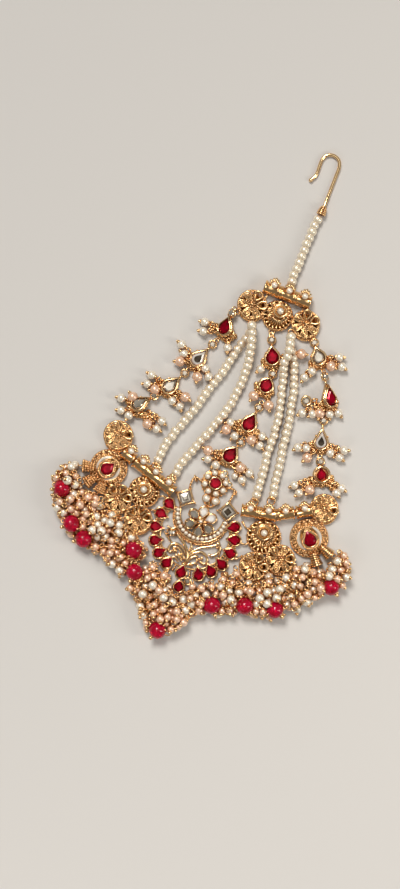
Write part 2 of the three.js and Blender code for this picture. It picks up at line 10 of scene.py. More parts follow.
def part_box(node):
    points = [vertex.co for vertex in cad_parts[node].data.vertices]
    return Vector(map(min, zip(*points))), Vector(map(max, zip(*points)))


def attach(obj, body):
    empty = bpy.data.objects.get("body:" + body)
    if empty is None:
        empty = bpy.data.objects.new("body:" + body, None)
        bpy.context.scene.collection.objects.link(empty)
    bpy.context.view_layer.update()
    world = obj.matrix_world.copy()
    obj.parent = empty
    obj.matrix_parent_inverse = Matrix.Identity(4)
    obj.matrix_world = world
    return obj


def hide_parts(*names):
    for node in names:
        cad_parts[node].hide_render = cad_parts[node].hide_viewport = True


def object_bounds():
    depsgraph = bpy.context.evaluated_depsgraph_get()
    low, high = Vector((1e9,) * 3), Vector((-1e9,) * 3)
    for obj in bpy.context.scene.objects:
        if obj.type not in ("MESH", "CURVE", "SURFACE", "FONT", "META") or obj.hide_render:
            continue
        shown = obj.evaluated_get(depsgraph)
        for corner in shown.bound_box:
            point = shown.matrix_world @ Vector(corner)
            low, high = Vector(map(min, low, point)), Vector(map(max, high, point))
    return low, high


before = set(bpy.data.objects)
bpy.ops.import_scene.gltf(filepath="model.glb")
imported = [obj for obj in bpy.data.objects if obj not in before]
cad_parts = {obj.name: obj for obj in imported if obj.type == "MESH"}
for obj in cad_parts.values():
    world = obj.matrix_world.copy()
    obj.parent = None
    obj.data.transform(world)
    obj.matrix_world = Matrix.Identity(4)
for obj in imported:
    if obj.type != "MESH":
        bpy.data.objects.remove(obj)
cad_low, cad_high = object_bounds()


# Hook: a plain gilt wire that catches the hair, soldered into a small coiled cap.
# The cap closes the top string. Everything here is worked in millimetres, counted from
# the middle of the pearl crescent, and turned into metres when a piece is finished.
MM = 0.001
CRESCENT_FROM_ORIGIN = np.array([-0.95, -43.55, 0.0])

FINISHES = {}


class Work:
    """One soldered or strung piece while it is being made."""

    def __init__(self):
        self.corners = []
        self.faces = []
        self.finishes = []
        self.soft = []
        self.seat = np.eye(4)

    def put(self, x=0.0, y=0.0, z=0.0, turn=0.0, roll=0.0, pitch=0.0):
        """Moves the seat where the next parts are made. Turn, roll and pitch are about Z, Y, X."""
        a, b, c = np.radians([turn, roll, pitch])
        about_z = np.array([[np.cos(a), -np.sin(a), 0], [np.sin(a), np.cos(a), 0], [0, 0, 1]])
        about_y = np.array([[np.cos(b), 0, np.sin(b)], [0, 1, 0], [-np.sin(b), 0, np.cos(b)]])
        about_x = np.array([[1, 0, 0], [0, np.cos(c), -np.sin(c)], [0, np.sin(c), np.cos(c)]])
        self.seat = np.eye(4)
        self.seat[:3, :3] = about_z @ about_y @ about_x
        self.seat[:3, 3] = (x, y, z)

    def add(self, corners, faces, finish, soft=True):
        corners = np.asarray(corners, float) @ self.seat[:3, :3].T + self.seat[:3, 3]
        start = len(self.corners)
        self.corners.extend(corners)
        self.faces.extend([[start + i for i in face] for face in faces])
        self.finishes.extend([finish] * len(faces) if isinstance(finish, str) else finish)
        self.soft.extend([soft] * len(faces))

    def done(self, name, nodes, slot):
        """Makes the Blender piece, which rides on the frame and stands for its CAD nodes."""
        mesh = bpy.data.meshes.new(name)
        places = np.array(self.corners)
        places[:, 2] += max(0.0, -places[:, 2].min())
        places = (places + CRESCENT_FROM_ORIGIN) * MM
        mesh.from_pydata(places.tolist(), [], self.faces)
        used = sorted(set(self.finishes))
        for finish in used:
            mesh.materials.append(FINISHES[finish])
        mesh.polygons.foreach_set("material_index", [used.index(f) for f in self.finishes])
        mesh.polygons.foreach_set("use_smooth", self.soft)
        mesh.update()
        piece = bpy.data.objects.new(name, mesh)
        bpy.context.scene.collection.objects.link(piece)
        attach(piece, "root")
        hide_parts(*nodes)
        return piece


def unit(v):
    v = np.asarray(v, float)
    return v / max(np.linalg.norm(v), 1e-9)


def sideways(v):
    """Any direction square to v."""
    other = np.array([0, 0, 1.0]) if abs(unit(v)[2]) < 0.9 else np.array([1.0, 0, 0])
    return unit(np.cross(other, v))


def skin(rows, around, closed=False):
    """The faces between rings of corners laid one after another."""
    faces = []
    last = rows if closed else rows - 1
    for r in range(last):
        for k in range(around):
            a = r * around + k
            b = r * around + (k + 1) % around
            c = (r + 1) % rows * around + (k + 1) % around
            d = (r + 1) % rows * around + k
            faces.append((a, b, c, d))
    return faces


def eased(places, per=5, closed=False):
    """A smooth route through the places."""
    p = np.asarray(places, float)
    n = len(p)
    route = []
    for i in range(n if closed else n - 1):
        a = p[(i - 1) % n] if closed or i else p[0] * 2 - p[1]
        b, c = p[i], p[(i + 1) % n]
        d = p[(i + 2) % n] if closed or i + 2 < n else c * 2 - b
        for k in range(per):
            t = k / per
            route.append(0.5 * (2 * b + (c - a) * t + (2 * a - 5 * b + 4 * c - d) * t * t
                                + (3 * b - a - 3 * c + d) * t ** 3))
    if not closed:
        route.append(p[-1])
    return np.array(route)


def wire(work, route, radius, finish="gold", sides=8, closed=False, tall=1.0):
    """A round wire bent along a route. radius is one number or one for each place."""
    route = np.asarray(route, float)
    n = len(route)
    radii = np.full(n, radius, float) if np.isscalar(radius) else np.asarray(radius, float)
    ahead = np.roll(route, -1, 0) - np.roll(route, 1, 0) if closed else np.gradient(route, axis=0)
    side = sideways(ahead[0])
    angles = np.linspace(0, 2 * math.pi, sides, endpoint=False)
    corners = []
    for place, way, r in zip(route, ahead, radii):
        way = unit(way)
        side = unit(side - way * side.dot(way))
        up = np.cross(way, side)
        corners.extend(place + r * (tall * math.cos(a) * side + math.sin(a) * up) for a in angles)
    faces = skin(n, sides, closed)
    if not closed:
        faces.append(tuple(reversed(range(sides))))
        faces.append(tuple(range((n - 1) * sides, n * sides)))
    work.add(corners, faces, finish)


def ring(work, centre, radius, thick, finish="gold", normal=(0, 0, 1), steps=16, sides=6):
    """A closed round ring, such as a jump ring or a coil of a cap."""
    u = sideways(normal)
    v = unit(np.cross(normal, u))
    angles = np.linspace(0, 2 * math.pi, steps, endpoint=False)
    route = [np.asarray(centre) + radius * (math.cos(a) * u + math.sin(a) * v) for a in angles]
    wire(work, route, thick, finish, sides, True)


def turned(work, profile, start=(0, 0, 0), way=(0, 0, 1), finish="gold", sides=24):
    """A turned form: pairs of radius and distance along the way from the start."""
    way = unit(way)
    u = sideways(way)
    v = np.cross(way, u)
    angles = np.linspace(0, 2 * math.pi, sides, endpoint=False)
    corners = []
    for radius, along in profile:
        corners.extend(np.asarray(start) + way * along + max(radius, 1e-3)
                       * (math.cos(a) * u + math.sin(a) * v) for a in angles)
    faces = skin(len(profile), sides)
    faces.append(tuple(reversed(range(sides))))
    faces.append(tuple(range((len(profile) - 1) * sides, len(profile) * sides)))
    work.add(corners, faces, finish)


def ball(work, place, radius, finish="gold", way=(0, 0, 1), length=1.0, sides=10, rings=6):
    """A bead or granule, longer or shorter along its way."""
    way = unit(way)
    u = sideways(way)
    v = np.cross(way, u)
    place = np.asarray(place, float)
    corners = [place - way * radius * length]
    for r in range(1, rings):
        t = math.pi * r / rings - math.pi / 2
        for k in range(sides):
            a = 2 * math.pi * k / sides
            corners.append(place + way * radius * length * math.sin(t)
                           + radius * math.cos(t) * (math.cos(a) * u + math.sin(a) * v))
    corners.append(place + way * radius * length)
    faces = [(0, 1 + (k + 1) % sides, 1 + k) for k in range(sides)]
    for r in range(rings - 2):
        for k in range(sides):
            a = 1 + r * sides + k
            b = 1 + r * sides + (k + 1) % sides
            faces.append((a, b, b + sides, a + sides))
    top = len(corners) - 1
    first = top - sides
    faces += [(first + k, first + (k + 1) % sides, top) for k in range(sides)]
    work.add(corners, faces, finish)


def set_sockets(shader, values):
    for socket, value in values.items():
        shader.inputs[socket].default_value = value


def new_finish(name, values):
    """Starts a finish: its node tree, and its shader with the fixed values set."""
    material = bpy.data.materials.new(name)
    material.use_nodes = True
    FINISHES[name] = material
    shader = material.node_tree.nodes["Principled BSDF"]
    set_sockets(shader, values)
    return material.node_tree, shader


def shade(tree, kind, values, source, socket):
    """A step of a finish, fed by the one before it."""
    made = tree.nodes.new(f"ShaderNode{kind}")
    set_sockets(made, values)
    tree.links.new(source, made.inputs[socket])
    return made


def clouds(tree, scale, detail):
    """Soft clouds that stay on the piece."""
    place = tree.nodes.new("ShaderNodeTexCoord").outputs["Object"]
    values = {"Scale": scale, "Detail": detail}
    return shade(tree, "TexNoise", values, place, "Vector").outputs["Fac"]


def openness(tree, reach):
    """High on open surfaces, low in recesses narrower than the reach: the mask by which the
    finishes paint shade into recesses.
    """
    nook = tree.nodes.new("ShaderNodeAmbientOcclusion")
    nook.samples = 6
    nook.inputs["Distance"].default_value = reach
    return nook.outputs["AO"]


def mixed(tree, share, first, second):
    mix = shade(tree, "Mix", {"Factor": share}, first, "A")
    tree.links.new(second, mix.inputs["B"])
    return mix.outputs["Result"]


def toned(tree, shader, measure, low, deep, high, bright):
    """Colours the shader from deep to bright as the measure goes from low to high."""
    ramp = tree.nodes.new("ShaderNodeValToRGB")
    for stop, at, colour in zip(ramp.color_ramp.elements, (low, high), (deep, bright)):
        stop.position = at
        stop.color = (*colour, 1)
    tree.links.new(measure, ramp.inputs["Fac"])
    tree.links.new(ramp.outputs["Color"], shader.inputs["Base Color"])


# How far into a recess the metal's painted shade reaches, in metres.
METAL_NOOK = 0.0014


def metal(name, bright, deep, rough, grain, dent=0.00006):
    """Gilt metal: bright where it is rubbed, deep orange brown in its recesses, where that deep
    colour is painted shade.
    """
    tree, shader = new_finish(name, {"Metallic": 1.0})
    # Mostly painted shade from the recess mask, with a quarter of soft clouds for wear.
    recess_shade = shade(tree, "MapRange", {"From Min": 0.25, "From Max": 0.9},
                  openness(tree, METAL_NOOK), "Value")
    shade_and_wear = mixed(tree, 0.25, recess_shade.outputs["Result"], clouds(tree, grain, 3.0))
    toned(tree, shader, shade_and_wear, 0.12, deep, 0.78, bright)
    sheen = shade(tree, "MapRange", {"To Min": rough[1], "To Max": rough[0]}, shade_and_wear, "Value")
    tree.links.new(sheen.outputs["Result"], shader.inputs["Roughness"])
    pits = shade(tree, "Bump", {"Strength": 0.3, "Distance": dent},
                 clouds(tree, grain * 3, 2.0), "Height")
    tree.links.new(pits.outputs["Normal"], shader.inputs["Normal"])


metal("gold", (1.0, 0.66, 0.32), (0.50, 0.16, 0.026), (0.18, 0.4), 900)
metal("polished_gold", (1.0, 0.70, 0.37), (0.58, 0.20, 0.035), (0.12, 0.28), 500)
metal("tube_gold", (1.0, 0.64, 0.30), (0.36, 0.10, 0.014), (0.16, 0.32), 260, 0.0003)
# A darker copy of the gold, painted shade for back plates and cups that lie deep under the
# wirework.
metal("aged_gold", (0.80, 0.40, 0.12), (0.26, 0.08, 0.013), (0.25, 0.5), 900)

HOOK_WIRE = 0.6
HOOK_PLACES = [
    (3.2, 114.2, 1.6), (3.3, 116, 1.0), (3.4, 122, 0.7), (3.5, 127, 0.7), (3.5, 130, 0.7),
    (2.55, 132.35, 0.7), (0.2, 133.3, 0.7), (-2.15, 132.35, 0.7), (-3.1, 130, 0.7),
    (-3.1, 125, 0.7), (-4.3, 122.5, 0.7),
]
hook = Work()
wire(hook, eased(HOOK_PLACES, 6), HOOK_WIRE, "polished_gold", 12)
ball(hook, HOOK_PLACES[-1], 0.75, "polished_gold", sides=14, rings=9)
cap_way = (0.1, 2.3, 0)
turned(hook, [(0.7, -0.2), (1.45, 0.1), (1.35, 1.2), (0.95, 2.2), (0.62, 3.0)],
       (3.1, 112.3, 1.75), cap_way)
for k in range(5):
    place = np.array([3.1, 112.4, 1.75]) + unit(cap_way) * 0.62 * k
    ring(hook, place, 1.42 - 0.06 * k * k * 0.6, 0.3, normal=cap_way, steps=20)
hook.done("hair_hook", ["hook"], "gold")


# Strings of seed pearls: one up to the hook and four down to the wings. The real pearls are
# strung tight on pale thread and tied off at wire loops; here each pearl sinks by about a
# quarter of its width into the next.
SEED_STEP = 2.42
SEED_RADIUS = 1.68
SEED_LENGTH = 0.97
ABOVE_SURFACE = 0.02
SLICES = 90
PAST_SOLID = {"top_string": 1.9}


# How far the pearls' painted shade reaches between neighbours, in metres.
PEARL_NOOK = 0.003
PEARL_SKIN = {"Metallic": 0.35, "IOR": 2.2, "Coat Weight": 1.0, "Coat IOR": 1.8,
              "Coat Roughness": 0.11}


def lustre(name, pale, warm_shade, rough=0.33, scale=260, skin=PEARL_SKIN):
    """Pearl: a soft body colour, warm where painted shade falls between neighbours and in recesses,
    with warmer clouds, under a clear smooth skin.
    """
    tree, shader = new_finish(name, {"Roughness": rough, **skin})
    # Painted shade from the recess mask, with a fifth of soft clouds.
    share = mixed(tree, 0.2, openness(tree, PEARL_NOOK), clouds(tree, scale, 2.0))
    toned(tree, shader, share, 0.3, warm_shade, 0.82, pale)


# The second colour of the pearls and the thread is their painted shade.
lustre("cream_pearl", (1.0, 0.91, 0.74), (0.46, 0.25, 0.12))
lustre("seed_pearl", (1.0, 0.885, 0.67), (0.46, 0.25, 0.11))
lustre("peach_pearl", (0.98, 0.63, 0.42), (0.56, 0.19, 0.05))
lustre("thread", (0.85, 0.78, 0.66), (0.55, 0.42, 0.28), 0.7)


def thread_route(node, to_loop):
    """The middle line of a string's solid, from its upper end down to the wire loop."""
    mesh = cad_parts[node].data
    corners = np.array([v.co for v in mesh.vertices]) / MM - CRESCENT_FROM_ORIGIN
    edges = np.array([e.vertices[:] for e in mesh.edges])
    a, b = corners[edges[:, 0]], corners[edges[:, 1]]
    route = []
    for y in np.linspace(corners[:, 1].max() - 0.6, corners[:, 1].min() + 0.6, SLICES):
        crossing = (a[:, 1] - y) * (b[:, 1] - y) < 0
        share = ((y - a[crossing, 1]) / (b[crossing, 1] - a[crossing, 1]))[:, None]
        cut = a[crossing] + (b[crossing] - a[crossing]) * share
        route.append((cut.min(0) + cut.max(0)) / 2)
    end = route[-1] + unit((route[-1] - route[-8]) * (1, 1, 0)) * to_loop
    return np.array([*route, end])


def strung(route, step):
    """Even places along a route, with the way of the thread at each."""
    gone = np.concatenate([[0], np.cumsum(np.linalg.norm(np.diff(route, axis=0), axis=1))])
    count = max(1, round(gone[-1] / step))
    at = (np.arange(count) + 0.5) * gone[-1] / count
    places = np.stack([np.interp(at, gone, route[:, k]) for k in range(3)], 1)
    ways = np.stack([np.interp(at + 0.3, gone, route[:, k]) for k in range(3)], 1) - places
    return places, ways


chance = random.Random(7)
for node in ("top_string", "string_left_outer", "string_left_inner",
             "string_right_outer", "string_right_inner"):
    string = Work()
    route = thread_route(node, PAST_SOLID.get(node, 1.6))
    wire(string, [*route[::4], route[-1]], 0.35, "thread", 6)
    places, ways = strung(route, SEED_STEP)
    for place, way in zip(places, ways):
        nudge = np.array([chance.uniform(-0.2, 0.2), 0, chance.uniform(-0.05, 0.05)])
        lean = unit(way) + [chance.uniform(-0.08, 0.08) for _ in range(3)]
        radius = SEED_RADIUS * chance.uniform(0.96, 1.03)
        place = place + nudge
        place[2] = max(place[2], radius + ABOVE_SURFACE)
        ball(string, place, radius, "seed_pearl", lean, SEED_LENGTH, 20, 13)
    string.done(f"{node}_of_seed_pearls", [node], "cream_pearl")


# Crest: a short ribbed tube with three pearl studs, and three rosettes soldered below it.
# The tube is rolled and turned gilt brass; the rosettes are wire filigree and granules.
BAR_RADIUS = 2.05
BAR_HEIGHT = 2.4
# Each profile: how far from the bar's end or from the rib's or joint's middle, and the radius.
BAR_END = ((0.0, 1.5), (0.02, 2.35), (0.35, 2.38), (0.6, 2.15), (1.0, BAR_RADIUS))
TRIPLE_RIB = ((1.15, BAR_RADIUS), (0.85, BAR_RADIUS + 0.34), (0.6, BAR_RADIUS + 0.34),
              (0.45, BAR_RADIUS - 0.16), (0.2, BAR_RADIUS + 0.25))
BAR_JOINT = ((1.0, BAR_RADIUS), (0.75, 2.4), (0.35, 2.35), (0.3, 1.3))


def ribbed_bar(work, start, end, ribs, gap=None):
    """A turned tube with flared ends, triple ribs and, on a jointed one, a narrow gap."""
    start = np.array([*start, BAR_HEIGHT])
    end = np.array([*end, BAR_HEIGHT])
    length = np.linalg.norm(end - start)
    marks = [(radius, along) for along, radius in BAR_END]
    marks += [(radius, length - along) for along, radius in BAR_END]
    places = [(share, TRIPLE_RIB) for share in ribs] + ([(gap, BAR_JOINT)] if gap else [])
    for share, profile in places:
        for side in (-1, 1):
            marks += [(radius, share * length + side * along) for along, radius in profile]
    marks.sort(key=lambda mark: mark[1])
    turned(work, marks, start, end - start, "tube_gold", 32)


def pearl_stud(work, x, y, z, heading):
    """A small pearl in a cup, with five leaves of flattened wire behind it."""
    work.put(x, y, z, heading - 90)
    turned(work, [(0.5, -0.9), (0.55, -0.2), (0.95, 0.25), (0.85, 0.4)], sides=14)
    ring(work, (0, 0, 0.3), 0.95, 0.24, steps=14)
    ball(work, (0, 0, 1.0), 1.12, "cream_pearl", sides=16, rings=10)
    for lean, reach in ((-2, 1.4), (-1, 2.3), (0, 2.7), (1, 2.3), (2, 1.4)):
        leaf = [(0.2 * lean, 0.8, 0.1), (0.5 * lean, 0.5 * reach + 0.2, 0.8),
                (0.95 * lean, reach, 0.7)]
        wire(work, eased(leaf, 4), np.interp(range(9), [0, 5, 8], [0.34, 0.62, 0.3]),
             "polished_gold", sides=8)


def at_angle(degrees, radius, z=0.0):
    """A place round the middle."""
    a = math.radians(degrees)
    return np.array([radius * math.cos(a), radius * math.sin(a), z])


def spoke(degrees, radius, marks):
    """A route outwards: each mark is a share of the radius and a height."""
    return [at_angle(degrees, radius * share, z) for share, z in marks]


def granules(work, radius, count, size, z, start=0.0, share=1.0, middle=(0, 0), finish="gold"):
    """A ring, or part of a ring, of soldered granules."""
    for k in range(count):
        place = at_angle(start + 360 * share * k / count, radius, z) + (*middle, 0)
        ball(work, place, size, finish, sides=8, rings=5)


def petal(work, angle, inner, outer, width, z, thick, lift=0.6, seed=0.45):
    """A teardrop loop of wire, tip inwards, with a long granule lying in it."""
    way = at_angle(angle, 1)
    across = at_angle(angle + 90, 1)
    loop = []
    for k in range(16):
        t = 2 * math.pi * k / 16
        out = (1 - math.cos(t)) / 2
        side = width * math.sin(t) * abs(math.sin(t / 2)) ** 1.2
        loop.append(way * (inner + (outer - inner) * out) + across * side
                    + np.array([0, 0, z + lift * out]))
    wire(work, loop, thick, "gold", 7, True, 1.25)
    if seed:
        middle = way * (inner * 0.36 + outer * 0.64) + np.array([0, 0, z + lift * 0.5])
        ball(work, middle, width * seed, "gold", way, 1.5, 8, 6)


def rope(work, route, radius, turns, finish="gold", closed=False):
    """Two wires laid round each other along a route."""
    route = np.asarray(route, float)
    n = len(route)
    ahead = np.roll(route, -1, 0) - np.roll(route, 1, 0) if closed else np.gradient(route, axis=0)
    for half in (0, math.pi):
        strand = []
        for k, (place, way) in enumerate(zip(route, ahead)):
            u = unit(np.cross((0, 0, 1), way))
            v = np.cross(unit(way), u)
            a = 2 * math.pi * turns * k / n + half
            strand.append(place + radius * 0.85 * (math.cos(a) * u + math.sin(a) * v))
        wire(work, strand, radius, finish, 6, closed)


def circle(radius, z, steps):
    """Places all round a circle."""
    return np.array([at_angle(360 * k / steps, radius, z) for k in range(steps)])


def rosette_foot(work, radius, turns):
    """The dished back plate of a rosette, in a darker gold that paints the shade seen between the
    wires above it, with a plain and a roped rim.
    """
    turned(work, [(radius * 0.92, 0), (radius * 0.97, 0.3), (radius * 0.93, 0.7),
                  (radius * 0.5, 0.8), (0.3, 0.9)], finish="aged_gold", sides=36)
    wire(work, circle(radius * 0.97, 0.45, 40), 0.3, "gold", 7, True)
    rope(work, circle(radius * 0.95, 1.15, turns * 6), 0.26, turns, "gold", True)


FOOT_SHIFT = np.array([0.36, -1.0])


def flower_rosette(x, y, radius, height, turn, petals=6, open_loops=2):
    """Filigree flower: wire petals in a shallow basket that leans on its back plate. The
    petals are nested loops, but a few stand up as thick open ones."""
    work = Work()
    work.put(x + FOOT_SHIFT[0], y + FOOT_SHIFT[1], 0, turn)
    rosette_foot(work, radius * 0.95, 22)
    work.put(x, y)
    rope(work, circle(radius * 0.96, 1.9, 132), 0.24, 22, "gold", True)
    for k in range(22):
        top = at_angle(360 * k / 22, radius * 0.95, 1.85)
        stay = [top, top * 0.99 + [FOOT_SHIFT[0] * 0.6, FOOT_SHIFT[1] * 0.6, -0.5],
                top * 0.95 + [FOOT_SHIFT[0], FOOT_SHIFT[1], -1.15]]
        wire(work, stay, 0.2, sides=6)
    work.put(x, y, 0, turn)
    granules(work, radius * 0.78, 2 * petals, 0.34, 1.6, 90 / petals)
    # The darker cups are painted shade under the petals.
    turned(work, [(radius * 0.75, 0.7), (radius * 0.7, 1.2)], finish="aged_gold", sides=24)
    turned(work, [(radius * 0.2, 0.8), (radius * 0.16, height - 2.0)], finish="aged_gold", sides=14)
    for k in range(petals):
        a = 360 * k / petals
        petal(work, a + 180 / petals, radius * 0.4, radius * 0.95, radius * 0.25, 1.9, 0.18, 0.1, 0)
        if k < open_loops:
            petal(work, a, radius * 0.3, radius * 1.0, radius * 0.36, height - 1.6, 0.32, 0.5, 0)
            petal(work, a, radius * 0.36, radius * 0.9, radius * 0.27, height - 2.0, 0.2, 0.4, 0)
        else:
            petal(work, a, radius * 0.22, radius * 0.95, radius * 0.31, height - 2.1, 0.24, 0.1, 0)
            petal(work, a, radius * 0.38, radius * 0.82, radius * 0.15, height - 2.2, 0.17, 0.1,
                  0.5)
        a += 180 / petals
        wire(work, spoke(a, radius, ((0.15, height - 1.9), (0.42, height - 2.1))), 0.22)
        ball(work, at_angle(a, radius * 0.47, height - 2.0), 0.36, "polished_gold", sides=8)
        ball(work, at_angle(a, radius * 0.84, 2.1), 0.42, "polished_gold", sides=8)
    granules(work, 0.85, 6, 0.42, height - 1.45, finish="polished_gold")
    ball(work, (0, 0, height - 1.05), 0.6, "polished_gold", sides=12, rings=8)
    return work


def pearl_rosette(x, y, radius, height, turn, lean=(0, 0)):
    """Stepped rosette: a feathered edge, a fan of ribs and a raised cup that holds a pearl."""
    work = Work()
    work.put(x, y, 0, turn)
    rosette_foot(work, radius, 26)
    for k in range(20):
        feather = [at_angle(18 * k + 9 * (share - 0.6), radius * share, z)
                   for share, z in ((0.62, 1.5), (0.8, 1.9), (0.95, 1.75), (1.04, 1.2))]
        wire(work, eased(feather, 3), np.interp(range(10), [0, 6, 9], [0.3, 0.34, 0.2]), "gold", 7)
    work.put(x + lean[0] * 0.5, y + lean[1] * 0.5, 0, turn)
    # The darker cups are painted shade in the rosette's depths.
    turned(work, [(radius * 0.7, 0.9), (radius * 0.64, 1.9), (radius * 0.5, 2.2)],
           finish="aged_gold", sides=28)
    rope(work, circle(radius * 0.63, 2.1, 90), 0.24, 15, "gold", True)
    for k in range(11):
        fan = spoke(12 * k - 66, radius, ((0.42, 2.9), (0.6, 2.8), (0.78, 2.0)))
        wire(work, eased(fan, 3), 0.25, "polished_gold")
    for k in range(6):
        petal(work, 78 + 41 * k, radius * 0.32, radius * 0.76, radius * 0.2, 2.3, 0.24, 0.1, 0.25)
    work.put(x + lean[0], y + lean[1], 0, turn)
    turned(work, [(radius * 0.42, 1.9), (radius * 0.4, height - 1.6), (radius * 0.36, height - 1.4),
                  (radius * 0.2, height - 1.8)], finish="aged_gold", sides=24)
    ring(work, (0, 0, height - 1.4), radius * 0.4, 0.28, "polished_gold", steps=28)
    ring(work, (0, 0, height - 2.2), radius * 0.46, 0.26, "polished_gold", steps=28)
    granules(work, radius * 0.28, 10, 0.26, height - 1.45)
    ball(work, (0, 0, height - 0.8), 1.2, "cream_pearl", sides=18, rings=12)
    return work


EYELET_RADIUS = 0.95
EYELET_HEIGHT = 0.9
EYELET_WIRE = 0.28


def eyelet(work, x, y, heading):
    """A small wire loop standing half out of an edge, with its stalk."""
    work.put(x, y, EYELET_HEIGHT, heading - 90)
    ring(work, (0, 0, 0), EYELET_RADIUS, EYELET_WIRE, steps=14)
    wire(work, [(0, -EYELET_RADIUS, 0), (0, -EYELET_RADIUS - 0.9, 0)], EYELET_WIRE)


crest_bar = Work()
ribbed_bar(crest_bar, (-6.9, 81.9), (10.3, 81.8), (0.33, 0.67))
crest_bar.put()
for edge in (-1, 1):
    wire(crest_bar, [(-6.7, 81.9 + 1.9 * edge, 0.6), (10.1, 81.8 + 1.9 * edge, 0.6)], 0.42)
for x in (-3.7, 1.9, 7.6):
    pearl_stud(crest_bar, x, 83.2, 4.1, 90)
for x, y, heading in ((1.5, 85.6, 90), (-5.8, 79.2, 270), (9.4, 79, 270)):
    eyelet(crest_bar, x, y, heading)
crest_bar.done("crest_bar", ["crest"], "gold")

crest_left = flower_rosette(-8.7, 74.5, 5.1, 4.4, 14)
for x, y, heading in ((-12.4, 70.6, 225), (-6.8, 69.9, 285)):
    eyelet(crest_left, x, y, heading)
crest_left.done("crest_rosette_left", ["crest"], "gold")
crest_middle = pearl_rosette(1.0, 73.9, 5.3, 4.8, -60, (0.37, 1.67))
eyelet(crest_middle, 1.0, 68.0, 270)
crest_middle.done("crest_rosette_middle", ["crest"], "gold")
crest_right = flower_rosette(11.2, 74.4, 4.9, 4.4, 40)
for x, y, heading in ((7.3, 70.2, 240), (14.7, 70.4, 310)):
    eyelet(crest_right, x, y, heading)
crest_right.done("crest_rosette_right", ["crest"], "gold")


# Drops: three chains of four pear-shaped stones in gilt collets, each with a small round
# stone at its tip and pearls that hang on headpins from rings at its round end.
DROPS = {
    "left_drop_1": (-13.8, 64.2, 88, 5.2, 7.0, 4.9, -32),
    "left_drop_2": (-19.6, 51, 65, 5.3, 7.6, 6.3, 0),
    "left_drop_3": (-25.6, 38.6, 61, 5.2, 7.4, 6.2, 0),
    "left_drop_4": (-32.8, 28.5, 50, 5, 7.2, 5.3, -25),
    "centre_drop_1": (4, 60.2, 112, 5.3, 6.9, 5.5, 0),
    "centre_drop_2": (5.6, 49.8, 80, 5.2, 5.9, 4.5, 0),
    "centre_drop_3": (4.7, 35.8, 79, 5.2, 7.4, 5.9, 0),
    "centre_drop_4": (2.2, 22.9, 70, 5.3, 6.8, 5.4, 0),
    "right_drop_1": (19.1, 65.5, 125, 5.2, 6.6, 4.9, 0),
    "right_drop_2": (26.6, 53.2, 120, 5.2, 8, 6.9, 35),
    "right_drop_3": (30.1, 38.6, 103, 5, 7.6, 6.6, 0),
    "right_drop_4": (34.4, 27, 115, 5.7, 5.9, 4.6, 0),
}
RUBY_DROPS = {"left_drop_1", "centre_drop_1", "centre_drop_2", "centre_drop_3",
              "centre_drop_4", "right_drop_2", "right_drop_4"}
DARK_HEARTS = {"left_drop_2", "right_drop_3"}
CREAM_RADIUS = 1.6
PEACH_RADIUS = 1.85
# Each pearl: its place, and "p" for the larger peach ones. One place holds a round stone.
PEARLS = {
    "left_drop_1": [(-22.1, 63.1), (-21.5, 59.9), (-11.6, 57.4)],
    "left_drop_2": [(-27, 53), (-25.2, 50.2), (-25.6, 47.2, "p"), (-16.4, 47.9), (-14.4, 45.6),
                    (-18, 44.2, "p")],
    "left_drop_3": [(-33.2, 39.4), (-33.6, 36), (-30.4, 35, "p"), (-23.4, 33.4), (-20.3, 32.6),
                    (-19.6, 36.2, "p")],
    "left_drop_4": [(-40.4, 28.2), (-39, 24.2), (-36.8, 30, "p"), (-35.9, 23.4), (-28.8, 22.9, "p"),
                    (-24.4, 25.5), (-25.2, 22.4)],
    "centre_drop_1": [(1.8, 54.3), (13.3, 64.1, "p")],
    "centre_drop_2": [(2.7, 44.7, "p"), (8.7, 43.4, "p")],
    "centre_drop_3": [(-1.8, 33.2), (-2.3, 30.4, "p"), (1.2, 29.3), (10.3, 32.4), (10.6, 29.2),
                      (7.2, 30, "p")],
    "centre_drop_4": [(-5.7, 21.4, "p"), (-4.8, 18.6), (-1.5, 17.6), (10.5, 18.9), (8.9, 15.8),
                      (7, 19.6, "p")],
    "right_drop_1": [(18.9, 59.7), (17.1, 56.8), (24.5, 63.7, "p"), (26.2, 67.6), (28.1, 64.8)],
    "right_drop_2": [(20.6, 49.4, "stone"), (20.6, 44.9), (24.1, 45.8), (26.5, 46.9, "p"),
                     (29.8, 47.8), (32.5, 49.2)],
    "right_drop_3": [(23.3, 33.1), (26.2, 33.8), (27.6, 30.8, "p"), (34.7, 35.1), (38.8, 37.6),
                     (38.2, 34.8)],
    "right_drop_4": [(26.7, 20.3), (29.2, 18.4), (32.3, 20.6, "p"), (42.5, 24.9), (41.4, 22.8)],
}


def gem(name, bright, deep, metallic, rough, coat=0.5, more=()):
    """Foil-backed glass: clear polished skin over a body that clouds from bright to deep."""
    tree, shader = new_finish(name, {
        "Metallic": metallic, "Roughness": rough, "Specular IOR Level": 0.6 * coat,
        "Coat Weight": coat, "Coat Roughness": 0.03, **dict(more)})
    toned(tree, shader, clouds(tree, 420, 1.5), 0.35, deep, 0.7, bright)


# The two shade finishes are darker copies of the ruby and clear glass, painted shade for facets
# turned from the light.
gem("ruby_glass", (0.50, 0.0, 0.021), (0.24, 0.0, 0.008), 0.45, 0.16, 0.18)
gem("ruby_shade", (0.19, 0.0, 0.007), (0.07, 0.0, 0.002), 0.3, 0.1, 0.4)
gem("clear_glass", (0.76, 0.70, 0.60), (0.50, 0.44, 0.35), 0.75, 0.14)
gem("clear_shade", (0.55, 0.49, 0.40), (0.30, 0.25, 0.19), 0.7, 0.12)
